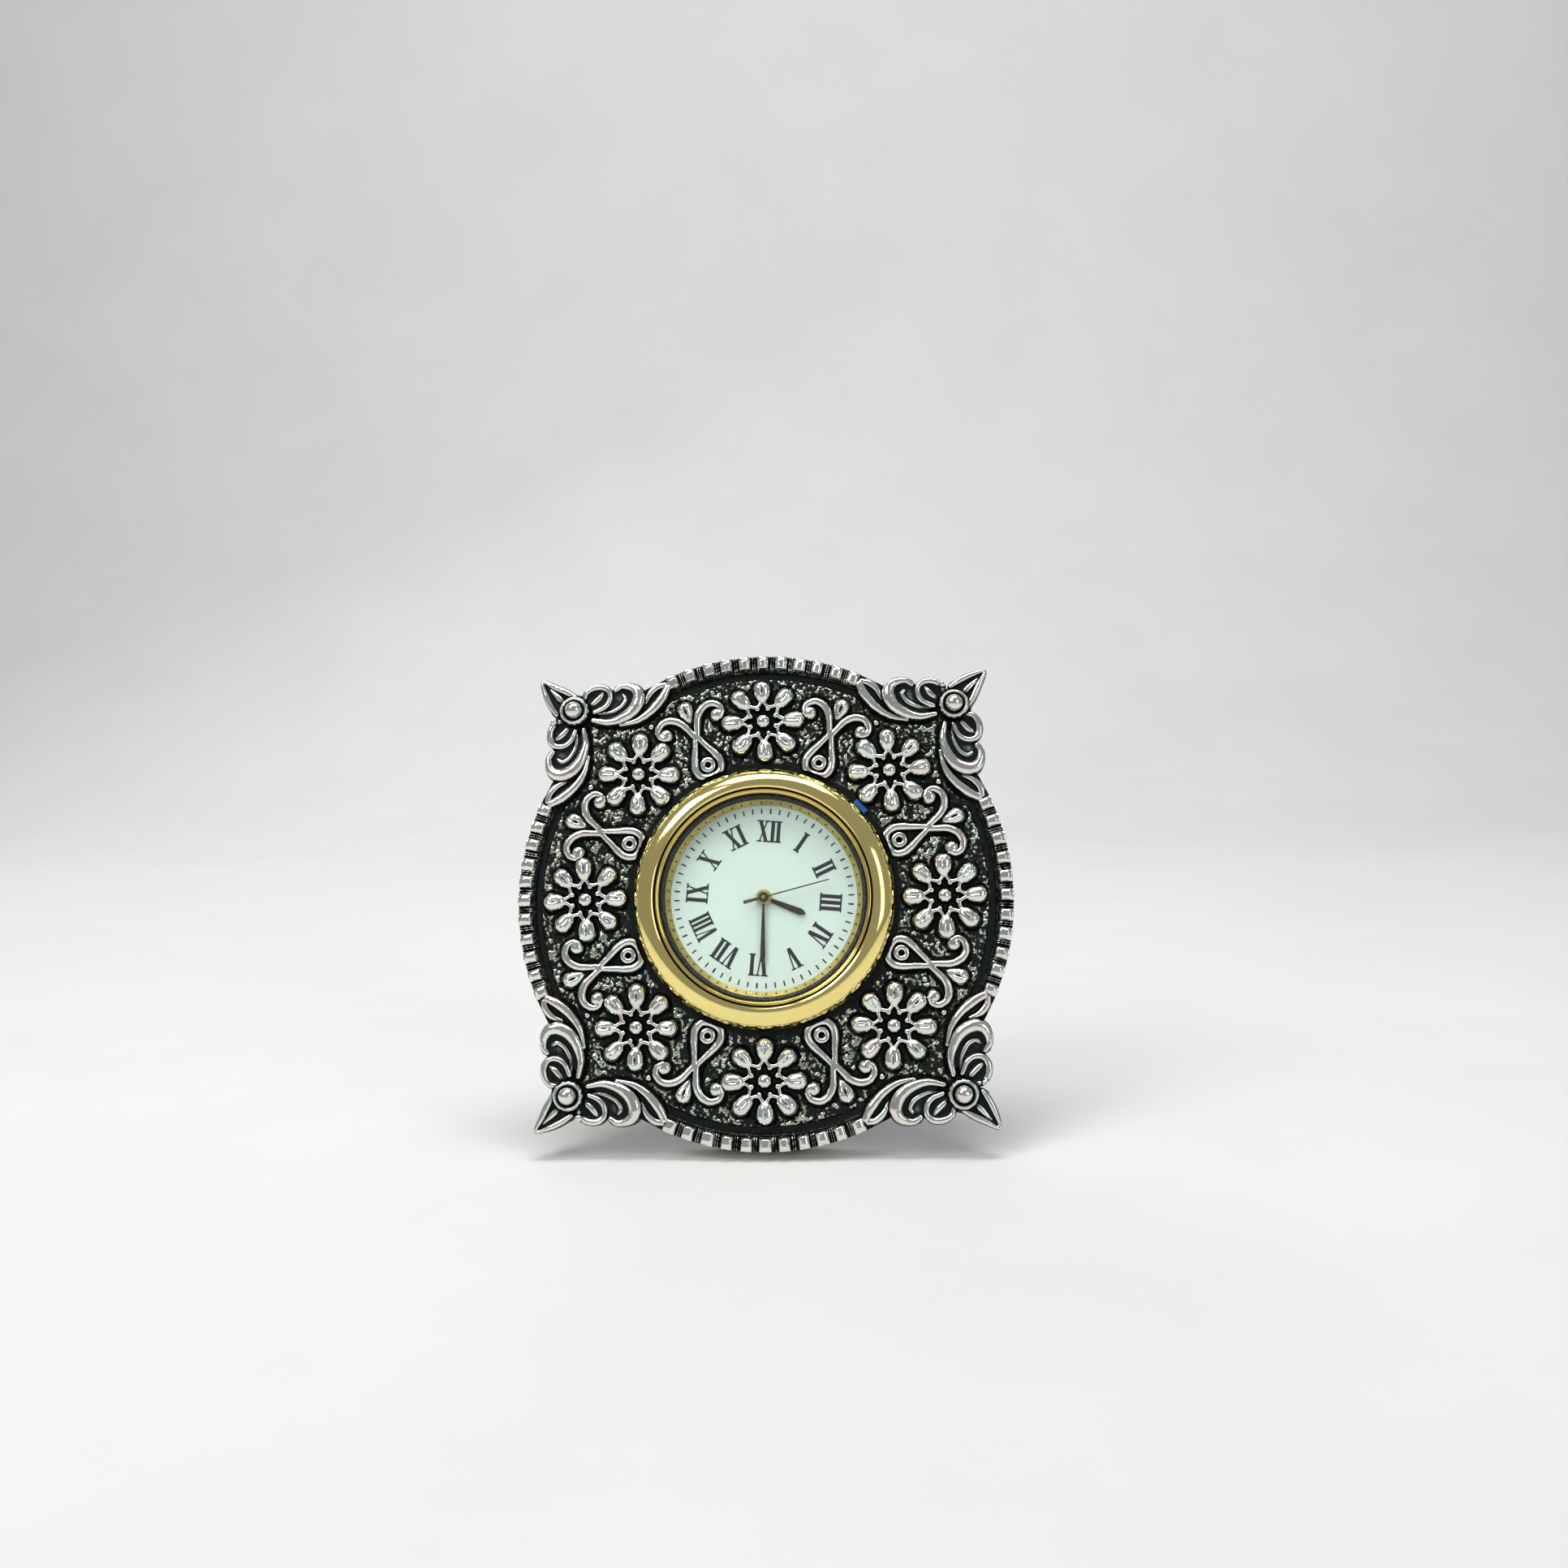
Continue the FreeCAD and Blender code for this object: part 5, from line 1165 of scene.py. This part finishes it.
def glass():
    material, tree, shader = new_finish("crystal_glass")
    masks = wear(tree, 0.6, 0.0)
    rough = ramp(tree, masks.outputs["Blotch"], [(0.4, (0.0,) * 3), (0.75, (0.02,) * 3)])
    wire(tree, shader, Base_Color=(0.97, 1.0, 0.99), IOR=1.5, Transmission_Weight=1.0, Roughness=rough)
    clear = add(tree, "ShaderNodeBsdfTransparent", Color=(0.97, 0.99, 0.98, 1))
    blend = tree.nodes.new("ShaderNodeMixShader")
    path = tree.nodes.new("ShaderNodeLightPath")
    feed(tree, blend, {0: path.outputs["Is Shadow Ray"], 1: shader.outputs[0], 2: clear.outputs[0]})
    output = next(n for n in tree.nodes if n.type == "OUTPUT_MATERIAL")
    wire(tree, output, Surface=blend.outputs[0])
    return material


# Each finish: its light and dark colour, metal, least and most roughness, scale of wear and bump
FINISHES = {
    "studio_paper": ((0.8, 0.8, 0.79), (0.77, 0.77, 0.76), 0.0, 0.85, 0.95, 0.05, 0.02),
    "gilt": ((0.95, 0.8, 0.32), (0.92, 0.75, 0.27), 1.0, 0.05, 0.12, 0.5, 0.01),
    # A darker copy of the gilt for the rehaut slope under the bezel lip: painted shade.
    "rehaut_gilt": ((0.7, 0.55, 0.19), (0.56, 0.42, 0.13), 1.0, 0.22, 0.34, 0.8, 0.02),
    "dial_white": ((0.7, 0.8, 0.74), (0.66, 0.77, 0.71), 0.0, 0.32, 0.42, 0.4, 0.02),
    "print_black": ((0.012, 0.012, 0.014), (0.006, 0.006, 0.007), 0.0, 0.35, 0.5, 2.0, 0.02),
    "dark_gilt": ((0.115, 0.095, 0.045), (0.045, 0.036, 0.018), 0.8, 0.2, 0.34, 2.4, 0.03),
    "hub_gilt": ((0.92, 0.76, 0.34), (0.8, 0.62, 0.24), 1.0, 0.1, 0.2, 1.0, 0.01),
    "blue_film": ((0.03, 0.16, 0.55), (0.02, 0.1, 0.4), 0.0, 0.2, 0.35, 1.0, 0.03),
    "black_plastic": ((0.042, 0.042, 0.045), (0.026, 0.026, 0.028), 0.0, 0.28, 0.45, 1.5, 0.35),
    "grip_rubber": ((0.035, 0.034, 0.033), (0.02, 0.02, 0.02), 0.0, 0.6, 0.8, 1.2, 0.5),
    "natural_plastic": ((0.78, 0.76, 0.7), (0.7, 0.68, 0.6), 0.0, 0.35, 0.5, 1.0, 0.2),
    "black_board": ((0.03, 0.029, 0.031), (0.01, 0.01, 0.012), 0.0, 0.85, 1.0, 3.0, 1.0),
    "plated_steel": ((0.56, 0.56, 0.54), (0.36, 0.36, 0.35), 1.0, 0.16, 0.32, 1.2, 0.15),
    "stand_wire": ((0.7, 0.69, 0.66), (0.55, 0.54, 0.52), 1.0, 0.14, 0.3, 1.0, 0.08),
    "spring_brass": ((0.8, 0.62, 0.3), (0.66, 0.48, 0.22), 1.0, 0.2, 0.35, 1.0, 0.1),
    "soft_iron": ((0.45, 0.44, 0.42), (0.3, 0.29, 0.28), 1.0, 0.35, 0.55, 1.5, 0.2),
    "copper_wire": ((0.72, 0.32, 0.14), (0.48, 0.18, 0.07), 1.0, 0.25, 0.45, 3.0, 0.4),
    "green_laminate": ((0.02, 0.19, 0.09), (0.015, 0.13, 0.06), 0.0, 0.25, 0.4, 1.5, 0.2),
    "bright_can": ((0.74, 0.74, 0.72), (0.62, 0.62, 0.6), 1.0, 0.12, 0.25, 1.0, 0.08),
    "wheel_brass": ((0.82, 0.63, 0.28), (0.68, 0.5, 0.2), 1.0, 0.2, 0.35, 2.0, 0.1),
    "dark_magnet": ((0.12, 0.12, 0.13), (0.06, 0.06, 0.065), 0.6, 0.35, 0.55, 2.0, 0.2),
}
FELTED = {"black_board": 0.5}
# Dark colours of the painted shade in the marked grooves and edges of the gilt.
EDGE_SHADE = {"gilt": (0.03, 0.02, 0.01), "rehaut_gilt": (0.035, 0.026, 0.014)}
finishes = {name: finish_from(name, *values) for name, values in FINISHES.items()}
finishes["antique_silver"] = antique_silver()
finishes["crystal_glass"] = glass()
for name, dark in EDGE_SHADE.items():
    paint_edge_shade(finishes[name], dark)
# The rehaut slope takes the darker copy of the gilt, which is painted shade.
SPECIAL = {"dial_print": "print_black", "rehaut_dots": "print_black", "rehaut_slope": "rehaut_gilt",
           "hour_hand_boss": "hub_gilt", "minute_hand_boss": "hub_gilt", "second_hand_pin": "hub_gilt"}


def paint(thing, finish):
    thing.data.materials.clear()
    thing.data.materials.append(finishes[finish])


node_slots = {entry["node"]: entry["material_slot"] for entry in frame["record"]["subparts"]}
for name, node in frame["nodes"].items():
    paint(node, node_slots[name])
for thing in list(bpy.context.scene.objects):
    if thing.type == "MESH" and thing.get("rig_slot"):
        paint(thing, SPECIAL.get(thing.name, thing["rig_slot"]))
paint(frame["nodes"]["film_ring"], "blue_film")

# Studio: a pale sweep, five soft lamps and a pale sky
STUDIO_WIDTH = 5.0
STUDIO_FRONT = -4.0
STUDIO_BEND = 0.35
STUDIO_RADIUS = 0.30
STUDIO_HEIGHT = 1.2


def sweep():
    """A floor that bends up into a backdrop."""
    rows = [(STUDIO_FRONT, 0.0), (STUDIO_BEND, 0.0)]
    rows += [(STUDIO_BEND + STUDIO_RADIUS * math.sin(t), STUDIO_RADIUS * (1 - math.cos(t)))
             for t in np.linspace(0, math.pi / 2, 24)[1:]]
    rows.append((STUDIO_BEND + STUDIO_RADIUS, STUDIO_HEIGHT))
    points = [(x, y, z) for y, z in rows for x in (-STUDIO_WIDTH, STUDIO_WIDTH)]
    faces = [(2 * n, 2 * n + 1, 2 * n + 3, 2 * n + 2) for n in range(len(rows) - 1)]
    mesh = bpy.data.meshes.new("studio_sweep")
    mesh.from_pydata(points, [], faces)
    mesh.shade_smooth()
    thing = placed("studio_sweep", mesh)
    paint(thing, "studio_paper")


def lamp(name, place, aim, size, power, colour=(1, 1, 1)):
    light = bpy.data.lights.new(name, "AREA")
    light.shape = "RECTANGLE"
    light.size, light.size_y = size
    light.energy = power
    light.color = colour
    thing = placed(name, light)
    thing.location = place
    thing.rotation_euler = (Vector(aim) - Vector(place)).to_track_quat("-Z", "Y").to_euler()


SKY_LIGHT = (0.30, 0.31, 0.32)
SKY_SEEN = (0.74, 0.75, 0.76)


def sky():
    world = bpy.data.worlds.new("studio_sky")
    bpy.context.scene.world = world
    world.use_nodes = True
    tree = world.node_tree
    back = tree.nodes["Background"]
    path = tree.nodes.new("ShaderNodeLightPath")
    wire(tree, back, Color=mixed(tree, path.outputs["Is Camera Ray"], SKY_LIGHT, SKY_SEEN), Strength=1.0)


sweep()
AIM = (0.0, 0.0, 0.036)
lamp("key", (-0.26, -0.26, 0.42), AIM, (0.24, 0.18), 0.86, (1.0, 0.99, 0.96))
lamp("fill", (0.36, -0.32, 0.20), AIM, (0.16, 0.26), 0.27, (0.96, 0.98, 1.0))
lamp("top", (0.03, -0.05, 0.46), AIM, (0.40, 0.16), 0.48)
lamp("back", (-0.24, 0.42, 0.36), AIM, (0.30, 0.24), 0.4)
lamp("backdrop", (0.0, -0.05, 0.75), (0.0, 0.62, 0.25), (0.5, 0.3), 3.0)
sky()
bpy.context.scene.view_settings.view_transform = "Standard"
